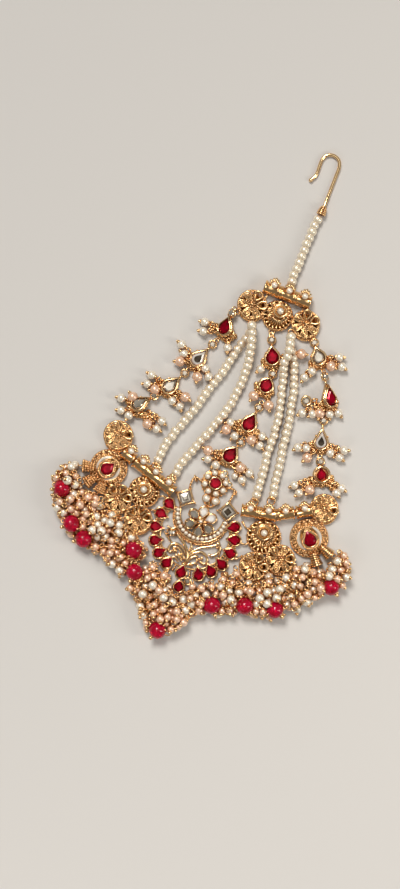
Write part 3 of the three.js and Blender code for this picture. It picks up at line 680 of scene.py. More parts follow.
# A brighter copy of the clear glass, a painted highlight for stones shown catching the light.
gem("bright_glass", (1.0, 0.97, 0.92), (0.85, 0.80, 0.72), 0.4, 0.15)
gem("smoky_glass", (0.10, 0.075, 0.05), (0.03, 0.02, 0.012), 0.25, 0.12, 0.12)


def pear_outline(width, length, steps=14, inset=0.0):
    """The outline of a pear-shaped stone, its tip towards +Y, drawn in evenly by the inset."""
    middle = width / 2 - length / 2
    lean = math.asin(width / 2 / (length - width / 2))
    radius = width / 2 - inset
    tip = (length - width / 2) * radius / (width / 2)
    outline = [(0, middle + tip), (-0.5 * radius * math.cos(lean),
                                   middle + (tip + radius * math.sin(lean)) / 2)]
    for k in range(steps):
        a = math.pi - lean + (math.pi + 2 * lean) * k / (steps - 1)
        outline.append((radius * math.cos(a), middle + radius * math.sin(a)))
    outline.append((-outline[1][0], outline[1][1]))
    return np.array(outline)


def round_outline(radius, steps=16):
    angles = np.linspace(0, 2 * math.pi, steps, endpoint=False)
    return np.stack([radius * np.cos(angles), radius * np.sin(angles)], 1)


def plate(work, outline, low, high, finish="gold", edge=0.15):
    """A flat plate of that outline with a softened upper edge."""
    outline = np.asarray(outline, float)
    middle = outline.mean(0)
    size = np.abs(outline - middle).max()
    rows = ((1, low), (1, high - edge), (1 - 0.3 * edge / size, high - 0.3 * edge),
            (1 - edge / size, high))
    corners = [(*(middle + (p - middle) * share), z) for share, z in rows for p in outline]
    n = len(outline)
    faces = skin(len(rows), n)
    faces.append(tuple(reversed(range(n))))
    faces.append(tuple(range((len(rows) - 1) * n, len(rows) * n)))
    work.add(corners, faces, finish)


# Each glass and its darker copy, the painted shade for facets turned from the light.
SHADED = {"ruby_glass": "ruby_shade", "clear_glass": "clear_shade"}


def cut_stone(work, outline, low, girdle, top, finish, table=0.55, heart=None):
    """A faceted stone: girdle, two rows of crown facets and a flat table. The facets that
    send the foil's light away are painted darker than their neighbours, with a shaded copy of the
    glass."""
    outline = np.asarray(outline, float)
    n = len(outline)
    middle = outline.mean(0)
    between = (outline + np.roll(outline, -1, 0)) / 2
    rise = top - girdle
    rows = [(outline, 1, low), (outline, 1, girdle), (between, 0.84, girdle + rise * 0.6),
            (outline, table, top)]
    corners = [(*(middle + (p - middle) * share), z) for line, share, z in rows for p in line]
    faces = skin(2, n)
    for k in range(n):
        after = (k + 1) % n
        faces.append((n + k, n + after, 2 * n + k))
        faces.append((2 * n + k, n + after, 2 * n + after))
        faces.append((2 * n + k, 3 * n + after, 3 * n + k))
        faces.append((2 * n + k, 2 * n + after, 3 * n + after))
    faces.append(tuple(range(3 * n, 4 * n)))
    faces.append(tuple(reversed(range(n))))
    dark = SHADED.get(finish, finish)
    shades = [dark if (k // 4 if k >= 2 * n else k) % 3 == 1 or k < n else finish
              for k in range(len(faces))]
    shades[-2] = heart or finish
    work.add(corners, faces, shades, soft=False)


def collet(work, outline, height, lip):
    """A stone's setting: a plate, a wall and two bright rolled lips."""
    outline = np.asarray(outline, float)
    middle = outline.mean(0)
    size = np.abs(outline - middle).max()
    plate(work, outline, 0, height - 0.9)
    inside = 1 - 0.3 / size
    for share, z, thick, sides in ((1, height - 1.1, lip * 1.1, 8),
                                   (inside, height - 0.3, lip * 0.8, 8),
                                   (inside, height - 0.75, lip * 0.8, 6)):
        loop = [(*(middle + (p - middle) * share), z) for p in outline]
        wire(work, loop, thick, "polished_gold", sides, True)


def heading_of(way):
    return math.degrees(math.atan2(way[1], way[0]))


def hung_pearl(work, place, away, radius, finish, z):
    """A pearl on a headpin: gold ball at its far end, a turned loop at its near end."""
    x, y = place
    work.put(x, y, z, heading_of(away))
    ball(work, (0, 0, 0), radius, finish, (1, 0, 0.15), 0.94, 18, 12)
    ball(work, (radius + 0.25, 0, 0.1), 0.56, "polished_gold", sides=10, rings=7)
    ring(work, (radius * 0.92, 0, 0.1), 0.55, 0.22, normal=(1, 0, 0), steps=10)
    ring(work, (-radius * 0.93, 0, -0.05), 0.62, 0.24, normal=(1, 0, 0), steps=10)
    wire(work, [(-radius, 0, 0), (-radius - 0.7, 0, 0)], 0.24)
    ring(work, (-radius - 1.2, 0, 0), 0.62, 0.22, normal=(0, 0.6, 1), steps=12)


def drop_lean(node, roll):
    """How high a leaned drop's middle lies, so that its lowest edge is on the surface."""
    low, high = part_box(f"{node}_setting")
    return (high.z - low.z) / MM / 2 - 1.3 * math.cos(math.radians(roll))


for name, (x, y, heading, width, length, link, roll) in DROPS.items():
    glass = "ruby_glass" if name in RUBY_DROPS else "clear_glass"
    dark = name in DARK_HEARTS
    lift = drop_lean(name, roll) if roll else 0.0

    setting = Work()
    setting.put(x, y, lift, heading - 90, roll)
    collet(setting, pear_outline(width, length, 22), 2.7, 0.36)
    ring(setting, (0, link, 1.1), 1.35, 0.34, "polished_gold", steps=20)
    turned(setting, [(1.1, 0.2), (1.3, 0.5), (1.2, 1.2)], (0, link, 0), sides=20)
    stone_outline = round_outline(1.2, 10) + [0, link]
    cut_stone(setting, stone_outline, 1.0, 1.6, 2.3, "clear_glass", 0.55)
    for k in range(4):
        claw = np.array(spoke(45 + 90 * k, 1, ((1.4, 0.6), (1.35, 1.7), (0.85, 2.2))))
        wire(setting, claw + (0, link, 0), [0.3, 0.28, 0.2], "polished_gold", 6)
    wire(setting, [(0, length / 2 - 0.6, 1.0), (0, link - 1.2, 1.0)], 0.4)
    ring(setting, (0, link + 1.9, 1.0), 0.75, 0.25, normal=(0, 0.35, 1), steps=14)
    for side in (-1, 1):
        ring(setting, (side * (width / 2 + 0.35), -length * 0.24, 1.0), 0.75, 0.32, steps=12)
        ball(setting, (side * width * 0.42, length * 0.14, 1.6), 0.36)
    setting.done(f"{name}_collet", [f"{name}_setting"], "gold")

    gemstone = Work()
    gemstone.put(x, y, lift, heading - 90, roll)
    cut = pear_outline(width, length, 11, 0.48)
    if name == "right_drop_4":
        cut = pear_outline(3.5, 4.5, 11) + [0, 0.2]
    # A dark-hearted stone's crown takes the bright copy of the glass, a painted highlight round its
    # smoky table.
    cut_stone(gemstone, cut, 1.2, 2.0, 2.95, "bright_glass" if dark else glass,
              0.56 if dark else 0.62, "smoky_glass" if dark else None)
    gemstone.done(f"{name}_pear_stone", [f"{name}_stone"], glass)

    bunch = Work()
    back = length / 2 - width / 2
    way = at_angle(heading, 1)[:2]
    middle = np.array([x, y]) - way * back
    for spot in PEARLS[name]:
        place = np.array(spot[:2])
        peach = spot[2:] == ("p",)
        away = unit(place - middle)
        radius = PEACH_RADIUS if peach else CREAM_RADIUS
        finish = "peach_pearl" if peach else "cream_pearl"
        turn = away + [chance.uniform(-0.3, 0.3), chance.uniform(-0.3, 0.3)]
        height = radius + chance.uniform(0.1, 0.7)
        if spot[2:] == ("stone",):
            bunch.put(*place)
            ring(bunch, (0, 0, 1.2), 1.6, 0.42, "polished_gold", steps=20)
            turned(bunch, [(1.4, 0.3), (1.5, 0.6), (1.4, 1.2)], sides=20)
            cut_stone(bunch, round_outline(1.4, 10), 1.0, 1.6, 2.2, "clear_glass", 0.55)
        else:
            hung_pearl(bunch, place, turn, radius, finish, height)
        bunch.put()
        root = middle + away * (width / 2 + 0.6)
        gap = np.linalg.norm(place - root) - radius
        links = max(1, int(gap / 1.5))
        for k in range(links):
            at = root + away * gap * (k + 0.5) / links
            tilt = (chance.uniform(-0.8, 0.8), chance.uniform(-0.8, 0.8), 1)
            ring(bunch, (*at, 1.1 + chance.uniform(0, 0.8)), 0.88, 0.34, normal=tilt, steps=12)
            for _ in range(2):
                aside = [chance.uniform(-0.8, 0.8), chance.uniform(-0.8, 0.8)]
                ball(bunch, (*(at + aside), 1.8), 0.5, sides=9, rings=6)
    bunch.put(*middle, 0, heading - 90)
    for k in range(7):
        a = 200 + 140 * k / 6
        bead = at_angle(a, width / 2 + 0.75, 1.0 + 0.4 * (k % 2))
        ring(bunch, bead, 0.78, 0.33, normal=at_angle(a, 0.5, 1), steps=12)
        ball(bunch, bead * (1.02, 1.02, 1.2), 0.48, sides=10, rings=7)
    bunch.done(f"{name}_hung_pearls", [f"{name}_pearls"], "cream_pearl")


# Pearl flower: a round ruby in a ring of collet-set pearls, with two larger pearls below
# and small clear stones on its upper right edge. Twisted wire links reach down from it.
flower = Work()
flower.put(0.6, 11.5)
plate(flower, round_outline(4.9, 28), 0, 1.0)
turned(flower, [(2.6, 0.9), (2.4, 2.2), (2.15, 2.6)], sides=24)
ring(flower, (0, 0, 2.55), 2.1, 0.28, "polished_gold", steps=28)
cut_stone(flower, round_outline(1.95, 14), 1.4, 2.6, 3.3, "ruby_glass", 0.66)
for k in range(8):
    place = at_angle(22 + 45 * k, 3.6)
    turned(flower, [(1.25, 0.8), (1.15, 1.5)], place, sides=14)
    ring(flower, place + [0, 0, 1.5], 1.08, 0.2, steps=14)
    ball(flower, place + [0, 0, 2.1], 1.06, "cream_pearl", sides=16, rings=10)
granules(flower, 2.75, 16, 0.3, 2.3)
granules(flower, 4.85, 24, 0.34, 1.0)
flower.put()
for x, y in ((-0.5, 5.5), (2.7, 5.6)):
    ring(flower, (x, y, 1.2), 1.35, 0.28, steps=16)
    ball(flower, (x, y, 1.9), 1.32, "cream_pearl", sides=18, rings=12)
for x, y in ((3.6, 14.2), (5.4, 12.6), (2.6, 16.0), (-1.6, 15.6)):
    ring(flower, (x, y, 1.3), 0.95, 0.22, "polished_gold", steps=14)
    cut_stone(flower, np.array([x, y]) + round_outline(0.85, 8), 0.8, 1.5, 1.9, "clear_glass", 0.5)
ball(flower, (6.1, 16.2, 1.6), 1.25, "cream_pearl", sides=16, rings=10)
granules(flower, 1.9, 9, 0.42, 0.9, 200, 0.45, (1.1, 4.9))

LINK_ROUTES = (
    [(-3.4, 10, 1.4), (-5.1, 10.9, 1.8), (-6.8, 11, 1.5), (-7.4, 9, 1.6), (-7.2, 6.2, 2)],
    [(4.6, 11.2, 1.4), (6.4, 11.6, 1.8), (7.7, 11.2, 1.5), (7.7, 9.2, 1.6), (7.4, 6.6, 2)],
)
for route in LINK_ROUTES:
    rope(flower, eased(route, 8), 0.24, 5)
    for k in range(3):
        ring(flower, (route[2][0] + 0.3 * k, route[2][1] - 0.2 * k, 1.5), 0.8, 0.24,
             normal=(1, 0.5, 0.3 * k), steps=12)
flower.done("ruby_and_pearl_flower", ["pearl_flower"], "gold")


# Wings: on each side a ribbed tube like the crest's, and a cluster of rosettes soldered
# edge to edge below it: a small flower, a large one with a ruby in shell, one with a pearl,
# and two flowers. Bead caps stand out of the outer edge.

# Polished shell: off-white with faint streaks, and painted shade in its recesses like the pearls.
lustre("shell", (0.74, 0.66, 0.56), (0.46, 0.35, 0.25), 0.42, 700,
       {**PEARL_SKIN, "Metallic": 0.0, "IOR": 1.55, "Coat Weight": 0.4, "Coat IOR": 1.5})


def string_end(work, x, y, heading):
    """The wire that ties a string's last pearl to the tube: two loops and a stalk."""
    work.put(x, y, 0, heading - 90)
    for side in (-1, 1):
        loop = [(0.2 * side, -2.6, 1.6), (1.3 * side, -0.9, 2.2), (1.0 * side, 0.6, 2.4),
                (0.1 * side, 0.4, 2.2)]
        wire(work, eased(loop, 4), 0.25)
    ring(work, (0, -2.4, 1.5), 0.85, 0.28, normal=(1, 0, 0.4), steps=14)
    turned(work, [(0.8, -1.2), (1.1, -0.6), (1.2, 0)], (0, 1.2, 1.6), (0, 1, 0), sides=14)


FIELD_LOOPS = 17
LOOP_SPREAD = math.degrees(0.13)


def ruby_rosette(x, y, radius, height, tip, wide, long):
    """Large rosette: a field of granules and small loops, shell crescents, a pear ruby."""
    work = Work()
    work.put(x, y)
    rosette_foot(work, radius, 34)
    # The darker base and the rim round the ruby are painted shade.
    turned(work, [(radius * 0.9, 0.6), (radius * 0.88, 1.4), (radius * 0.8, 2.0),
                  (radius * 0.74, height - 2.2), (0.4, height - 2.0)], finish="aged_gold", sides=36)
    granules(work, radius * 0.93, 34, 0.46, 1.5, finish="polished_gold")
    for k in range(FIELD_LOOPS):
        a = 360 * k / FIELD_LOOPS
        loop = [at_angle(a + LOOP_SPREAD * math.sin(t), radius * (0.83 + 0.055 * math.cos(t)), 2.15)
                for t in np.linspace(0, 2 * math.pi, 12, endpoint=False)]
        wire(work, loop, 0.17, "polished_gold", 6, True)
        ball(work, at_angle(a, radius * 0.83, 2.2), 0.3, sides=8, rings=5)
    granules(work, radius * 0.75, 30, 0.42, height - 2.05)
    granules(work, radius * 0.68, 40, 0.3, height - 1.85, finish="polished_gold")
    for side in (tip + 90, tip + 270):
        cut = [at_angle(side - 76 + 152 * k / 18, radius * 0.65)[:2] for k in range(19)]
        for k in range(17):
            inner = radius * (0.44 + 0.19 * (abs(k - 8) / 8) ** 2)
            cut.append(at_angle(side + 70 - 140 * k / 16, inner)[:2])
        plate(work, cut, height - 2.3, height - 1.75, "shell", 0.1)
        wire(work, [(*p, height - 1.8) for p in cut], 0.14, "gold", 6, True)
    for k in range(9):
        for side in (0, 180):
            fan = spoke(tip + side - 32 + 8 * k, radius,
                        ((0.44, height - 1.5), (0.6, height - 1.5), (0.72, height - 1.8)))
            wire(work, fan, 0.22, "gold", 6)
    work.put(x, y, 0, tip - 90)
    rim = pear_outline(wide + 1.0, long + 1.1, 26)
    plate(work, rim, 1.6, height - 1.0, "aged_gold")
    braid = [(*p, height - 0.95) for p in pear_outline(wide + 1.5, long + 1.7, 14)]
    rope(work, eased(braid, 6, True), 0.22, 17, "gold", True)
    wire(work, [(*p, height - 0.7) for p in pear_outline(wide + 0.35, long + 0.45, 22)], 0.22,
         "polished_gold", 7, True)
    cut_stone(work, pear_outline(wide, long, 11), height - 1.4, height - 0.6, height + 0.1,
              "ruby_glass", 0.6)
    return work


def bead_cap(work, start, end, coils, granulated):
    """A cone of coils or of granule rings, wide end outwards, with a wire eye at its mouth."""
    start = np.array([*start, 2.6])
    end = np.array([*end, 2.6])
    way = unit(end - start)
    length = np.linalg.norm(end - start)
    turned(work, [(0.9, 0), (1.35, length * 0.4), (1.9, length)], start, way, sides=18)
    u = sideways(way)
    v = np.cross(way, u)
    for k in range(coils):
        share = (k + 0.4) / coils
        radius = 1.05 + 1.05 * share
        place = start + way * length * share
        if granulated:
            count = round(2 * math.pi * radius / 0.8)
            for i in range(count):
                a = 2 * math.pi * (i + 0.5 * (k % 2)) / count
                ball(work, place + radius * (math.cos(a) * u + math.sin(a) * v), 0.44,
                     sides=8, rings=5)
        else:
            ring(work, place, radius, 0.34, "polished_gold", way, 22, 7)
    ring(work, end + way * 0.6, 0.7, 0.24, normal=u, steps=12)
    ball(work, end + way * 2.4, 1.5, "cream_pearl", way, 0.95, 16, 11)
    ring(work, end + way * 3.7, 0.6, 0.24, "polished_gold", way, 10, 5)
    ball(work, end + way * 3.95, 0.5, "polished_gold", sides=10, rings=7)


left_bar = Work()
ribbed_bar(left_bar, (-33.2, 10.9), (-12.1, 3.6), (0.49, 0.75), 0.215)
for x, y in ((-30.7, 12.1), (-25.5, 10.2), (-20.2, 8.3), (-14.7, 6.4)):
    pearl_stud(left_bar, x, y, 4.0, 71)
string_end(left_bar, -21.1, 10.2, 90)
string_end(left_bar, -14.2, 8.2, 90)
left_bar.done("left_wing_tube", ["left_wing"], "gold")

right_bar = Work()
ribbed_bar(right_bar, (12.2, 5.8), (24.2, 8.2), (0.5,))
ribbed_bar(right_bar, (23.6, 8.0), (35.6, 14.2), (0.08,), 0.55)
for x, y, heading in ((15.0, 7.6, 100), (21.2, 9, 102), (26.8, 10.9, 112), (32.7, 14.0, 116)):
    pearl_stud(right_bar, x, y, 4.0, heading)
string_end(right_bar, 15.5, 10.4, 92)
string_end(right_bar, 20.9, 12.8, 92)
right_bar.done("right_wing_tube", ["right_wing"], "gold")

WING_FLOWERS = [
    ("left_wing_small_rosette", -37, 15.7, 5.1, 20, 7, 1),
    ("left_wing_outer_flower", -29.6, -5, 4.9, 20, 6, 3),
    ("left_wing_inner_flower", -20.6, -9.4, 4.9, 28, 6, 3),
    ("right_wing_small_rosette", 39.2, 16.3, 4.9, 5, 7, 1),
    ("right_wing_outer_flower", 30.9, -5.7, 5.1, 24, 6, 1),
    ("right_wing_inner_flower", 23, -11.2, 5.0, 14, 6, 2),
]
for name, x, y, radius, turn, petals, open_loops in WING_FLOWERS:
    rosette = flower_rosette(x, y, radius, 4.2, turn, petals, open_loops)
    rosette.done(name, [name[:name.index("_wing") + 5]], "gold")
left_pearl = pearl_rosette(-21.8, 0.1, 5.4, 4.9, 20, (-0.3, 0.9))
left_pearl.done("left_wing_pearl_rosette", ["left_wing"], "gold")
right_pearl = pearl_rosette(22.9, -0.4, 6.0, 5.1, 10, (-0.5, 1.5))
right_pearl.done("right_wing_pearl_rosette", ["right_wing"], "gold")

left_ruby = ruby_rosette(-36.3, 3.7, 6.6, 4.6, 56, 4.2, 5.3)
left_ruby.put()
for start, end in (((-41, 2.4), (-45.2, 1.4)), ((-39.6, -0.6), (-42.2, -4)),
                   ((-36.2, -1.8), (-36.7, -5.4))):
    bead_cap(left_ruby, start, end, 5, True)
left_ruby.done("left_wing_ruby_rosette", ["left_wing"], "gold")
right_ruby = ruby_rosette(37.9, 4.7, 6.8, 4.6, 130, 4.3, 5.7)
right_ruby.put()
for start, end in (((43, 3.3), (47, 1.5)), ((41, 0.2), (43.8, -3.4))):
    bead_cap(right_ruby, start, end, 6, False)
right_ruby.done("right_wing_ruby_rosette", ["right_wing"], "gold")


# Centre pendant: thirteen pear rubies soldered in an open ring round a channel of pearls,
# with a flower of foil-backed stones in it, a square stone on each tip of the channel, and
# scrolls of wire that rise from the ring's lower end.
RING_MIDDLE = (0, -7.8)
RING_RADIUS = 13.6
RUBY_FROM_BOTTOM = (-120.5, -102, -82, -62, -43.5, -25, 0, 25, 43.5, 62, 82, 102, 120.5)

ruby_ring = Work()
for from_bottom in RUBY_FROM_BOTTOM:
    x, y, _ = at_angle(270 + from_bottom, RING_RADIUS)
    ruby_ring.put(RING_MIDDLE[0] + x, RING_MIDDLE[1] + y, 0, from_bottom)
    collet(ruby_ring, pear_outline(4.1, 5.4, 20), 2.4, 0.22)
    cut_stone(ruby_ring, pear_outline(3.45, 4.5, 9), 1.0, 2.1, 2.85, "ruby_glass", 0.62)
ruby_ring.put(*RING_MIDDLE)
for a, b in zip(RUBY_FROM_BOTTOM, RUBY_FROM_BOTTOM[1:]):
    for out, size in ((RING_RADIUS + 0.9, 0.5), (RING_RADIUS, 0.42), (RING_RADIUS - 0.8, 0.36)):
        ball(ruby_ring, at_angle(270 + (a + b) / 2, out, 0.9), size, sides=10, rings=7)
wire(ruby_ring, [at_angle(a, 12.2, 0.7) for a in range(148, 394, 6)], 0.35)
ruby_ring.done("ruby_ring", ["centre_pendant"], "gold")

crescent = Work()
crescent.put()
CHANNEL = range(184, 361, 4)
CHANNEL_MIDDLE = 272
CHANNEL_SPREAD = 88


def channel(radius, z, reach=0.0):
    """A route along the crescent, whose horns draw in a little towards their tips."""
    route = []
    for a in CHANNEL:
        horn = abs(a - CHANNEL_MIDDLE) / CHANNEL_SPREAD
        route.append(at_angle(a, radius - reach * horn * horn, z))
    return route


bed = [p[:2] for p in channel(9.9, 0, 0.5)] + [p[:2] for p in reversed(channel(7.7, 0, -0.1))]
plate(crescent, bed, 0, 1.0)
wire(crescent, channel(7.75, 1.25, -0.1), 0.32, "polished_gold")
wire(crescent, channel(10.0, 1.25, 0.5), 0.36, "polished_gold")
wire(crescent, channel(10.5, 0.7, 0.8), 0.3)
for half in (0, math.pi):
    strand = []
    for k, p in enumerate(eased(channel(11.0, 0.8, 1.4), 3)):
        a = 0.9 * k + half
        strand.append(p + 0.2 * (math.cos(a) * unit([p[0], p[1], 0]) + [0, 0, math.sin(a)]))
    wire(crescent, strand, 0.22, "gold", 6)
for k in range(18):
    a = 190 + 168 * k / 17
    out = 8.85 - 0.25 * (abs(a - CHANNEL_MIDDLE) / CHANNEL_SPREAD) ** 2
    ball(crescent, at_angle(a, out, 1.55), 0.8, "cream_pearl", sides=14, rings=9)
crescent.done("pearl_crescent", ["centre_pendant"], "gold")

KUNDAN_MIDDLE = (0.3, -2.7)
kundan = Work()
kundan.put(*KUNDAN_MIDDLE)
turned(kundan, [(2.6, 0), (2.4, 1.2), (1.2, 1.8)], sides=24)
for angle, reach, tilt in ((92, 3.1, 0), (33, 3.5, 0), (-27, 3.3, 11), (-84, 3.1, 12),
                           (212, 3.2, 12), (152, 3.4, -12)):
    x, y, _ = at_angle(angle, reach)
    kundan.put(KUNDAN_MIDDLE[0] + x, KUNDAN_MIDDLE[1] + y, abs(tilt) * 0.04, angle + 90, 0, tilt)
    collet(kundan, pear_outline(3.5, 4.5, 18), 2.3, 0.2)
    # The two upper petals take the bright copy of the glass, a painted highlight.
    cut_stone(kundan, pear_outline(3.0, 3.9, 8), 1.0, 2.0, 2.8,
              "bright_glass" if angle in (92, 33) else "clear_glass", 0.6)
kundan.put(*KUNDAN_MIDDLE)
granules(kundan, 0.85, 6, 0.36, 2.5)
ball(kundan, (0, 0, 2.7), 0.68, "cream_pearl", sides=14, rings=9)
wire(kundan, [(0, -3.8, 0.8), (-0.1, -8.2, 0.8)], 0.8)
wire(kundan, [(0.4, 5, 0.8), (0.6, 9.2, 0.8)], 0.6)
kundan.done("kundan_flower", ["centre_pendant"], "gold")

for side, x, y, turn, heart in (("left", -7.5, 3.2, 35, "clear_glass"),
                                ("right", 8.1, 3.6, -32, "smoky_glass")):
    square = Work()
    square.put(x, y, 0, turn + 45)
    outline = np.array([at_angle(90 * k + lean, 3.35)[:2] for k in range(4) for lean in (-3, 3)])
    collet(square, outline, 3.0, 0.22)
    cut_stone(square, outline * 0.84, 1.0, 2.3, 2.75, "clear_glass", 0.62)
    cut_stone(square, outline * 0.42, 2.5, 2.76, 2.95, heart, 0.5)
    for k in range(4):
        ball(square, at_angle(90 * k, 3.75, 1.2), 0.42, sides=10, rings=7)
    square.done(f"{side}_square_stone", ["centre_pendant"], "gold")

SCROLLS = [
    ([(-0.4, -15.9), (-1.7, -14.2), (-3.6, -13.1), (-5.4, -13), (-6.7, -14.2), (-7, -15.8),
      (-6.2, -16.4), (-5.4, -15.8)], 0.45),
    ([(-0.6, -17.2), (-1.8, -15.6), (-3.5, -14.3), (-5, -14.2), (-5.8, -15.2)], 0.42),
    ([(-6.3, -9.4), (-3.1, -11.5), (-0.8, -13.8), (0.1, -16.2), (0.1, -18.4)], 0.5),
    ([(-10.4, -10.4), (-8.7, -11.7), (-6.6, -13.1)], 0.42),
    ([(-4.9, -17.6), (-3.6, -17.7), (-2.2, -18.7)], 0.42),
    ([(-4.1, -16.6), (-2.7, -16.9), (-1.3, -18.2)], 0.42),
    ([(-3.2, -15.9), (-1.9, -16.3), (-0.7, -17.6)], 0.42),
    ([(0, -16.4), (1, -13.9), (3.1, -11.7), (6.1, -10.1), (8.1, -8.8), (8.7, -7.9), (9.6, -8.6),
      (10, -10.3), (9.2, -11.8), (7.8, -12.9), (6.9, -12.4)], 0.42),
    ([(0.6, -16.9), (1.8, -14.1), (4.2, -12.8), (6.2, -13.4), (7.1, -14.9), (6.5, -16.4),
      (5.3, -16.2)], 0.45),
    ([(0.3, -18.4), (1.2, -16.4), (2.6, -15), (3.9, -14.6)], 0.4),
    ([(0.6, -18.9), (2, -18), (3.4, -17.2), (4.6, -17.4)], 0.4),
    ([(0.2, -14.8), (0.3, -12.2), (-0.6, -10.6)], 0.42),
    ([(8.2, -6.2), (9.8, -9.5), (10.4, -12.6)], 0.34),
    ([(-10.2, -8.2), (-8.2, -8.6), (-6.9, -7.4)], 0.42),
    ([(0.2, -19), (0.2, -22), (0.9, -24.2)], 0.6),
]
scrolls = Work()
scrolls.put()
for index, (places, thick) in enumerate(SCROLLS):
    route = eased([(x, y, 1.1 + 0.12 * (index % 3)) for x, y in places], 6)
    ends = np.interp(range(len(route)), [0, 3, len(route) - 4, len(route) - 1], [0.6, 1, 1, 0.6])
    wire(scrolls, route, thick * 0.84 * ends, "polished_gold", 10, tall=1.25)
for x, y, size in ((-4.6, -15.4, 0.75), (-5.2, -14.9, 0.5), (-0.2, -18.8, 0.8), (3.8, -15.9, 0.65),
                   (5.0, -14.6, 0.6), (4.4, -15.3, 0.5), (2.3, -18.2, 0.6), (-5.3, -15.7, 0.55),
                   (5.2, -16.2, 0.6), (8.9, -9.4, 0.55)):
    ball(scrolls, (x, y, 1.4), size, sides=12, rings=8)
scrolls.put(-7.9, -9.9, 0, 20)
collet(scrolls, np.array([(-1.7, -1.1), (1.7, -1.1), (1.7, 1.1), (-1.7, 1.1)]), 2.2, 0.24)
cut_stone(scrolls, np.array([(-1.3, -0.75), (1.3, -0.75), (1.3, 0.75), (-1.3, 0.75)]), 0.9, 1.6,
          2.2, "clear_glass", 0.5)
scrolls.put(0.9, -26.5, 0, 5)
collet(scrolls, pear_outline(4.0, 4.8, 18), 2.5, 0.24)
cut_stone(scrolls, pear_outline(3.2, 4.0, 9), 1.0, 1.9, 2.7, "ruby_glass", 0.62)
scrolls.put(3.2, -24)
ring(scrolls, (0, 0, 1.2), 1.2, 0.28, "polished_gold")
cut_stone(scrolls, round_outline(1.05, 9), 0.8, 1.4, 2.0, "clear_glass", 0.5)
scrolls.put()
for x, y, way in ((-15.3, 0.2, 20), (-16.6, -5.6, -10), (15.9, 1.4, 160), (17.2, -4.3, 190),
                  (16.9, -9.9, 215), (-5.2, -23.6, 240)):
    a = math.radians(way)
    hookup = [(x - 1.6 * math.cos(a), y - 1.6 * math.sin(a), 0.9),
              (x + 0.3 * math.sin(a), y + 0.9 * math.cos(a), 1.5),
              (x + 1.8 * math.cos(a), y + 1.8 * math.sin(a), 1.1)]
    wire(scrolls, eased(hookup, 5), 0.34)
    ball(scrolls, hookup[2], 0.5, sides=10, rings=7)
scrolls.done("wire_scrolls", ["centre_pendant"], "gold")


# Red beads: large pressed-glass beads, each on a headpin with a gold ball at the outer
# end and a turned loop at the inner one.

# Clear red glass coloured right through, so it glows a little at its edges.
gem("red_glass", (0.88, 0.0, 0.07), (0.55, 0.0, 0.026), 0.0, 0.07, 0.0, {
    "Specular IOR Level": 0.5, "Transmission Weight": 0.5, "IOR": 1.5,
    "Subsurface Weight": 0.1, "Subsurface Radius": (0.004, 0.0006, 0.0006),
    "Subsurface Scale": 1.0})


def solid_box(node):
    """The box of a CAD node, in this script's millimetres."""
    return [np.array(corner) / MM - CRESCENT_FROM_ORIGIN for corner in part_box(node)]


FRINGE_MIDDLE = np.array([0.0, 6.0])
red_places = []
for k in range(10):
    low, high = solid_box(f"red_bead_{k + 1}")
    middle = (low + high) / 2
    red_places.append(middle)
    away = unit(middle[:2] - FRINGE_MIDDLE)
    bead = Work()
    bead.put(*middle, heading_of(away) + chance.uniform(-25, 25))
    radius = (high[0] - low[0]) / 2 + 0.05
    ball(bead, (0, 0, 0), radius, "red_glass", (1, 0, 0.2), 0.97, 32, 22)
    ring(bead, (radius * 0.93, 0, 0.5), 0.75, 0.26, "polished_gold", (1, 0, 0.3), 14)
    ball(bead, (radius + 0.45, 0, 0.6), 0.68, "polished_gold", sides=14, rings=9)
    ring(bead, (-radius * 0.95, 0, -0.5), 0.6, 0.25, "polished_gold", (1, 0, 0.2), 12)
    wire(bead, [(-radius, 0, -0.6), (-radius - 0.9, 0, -0.8)], 0.28)
    bead.done(f"red_glass_bead_{k + 1}", [f"red_bead_{k + 1}"], "red_bead")


# Fringe: about three hundred pearls on headpins, hung in bunches from rings along the lower
# edge. Cream ones are the larger and lie mostly near the gold; peach ones vary in size.
# The centre bunch also reaches across two gaps beside its solid.
FRINGE_GAPS = ((10.9, -31.2), (11.8, -23.6))
GAP_REACH = 3.4
LAYERS = ((1.9, 2500), (4.4, 2500), (6.2, 900))
CLOSENESS = 0.86
BEAD_ROOM = 3.2
SIX_WAYS = (0, 1.05, 2.1, 3.14, 4.19, 5.24)
FOUR_WAYS = (0, 1.6, 3.1, 4.7)


def inside_solid(node):
    """Says whether a place is over the fringe solid, by a ray straight down."""
    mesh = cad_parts[node].data
    tree = BVHTree.FromPolygons([v.co[:] for v in mesh.vertices],
                                [p.vertices[:] for p in mesh.polygons])

    def over(x, y):
        if node == "fringe_centre" and any(math.dist((x, y), gap) < GAP_REACH
                                           for gap in FRINGE_GAPS):
            return True
        place = (np.array([x, y, 0]) + CRESCENT_FROM_ORIGIN) * MM
        return tree.ray_cast((place[0], place[1], 0.05), (0, 0, -1))[0] is not None

    return over


def clear_of_edge(over, x, y, reach, ways):
    return all(over(x + reach * math.cos(a), y + reach * math.sin(a)) for a in ways)


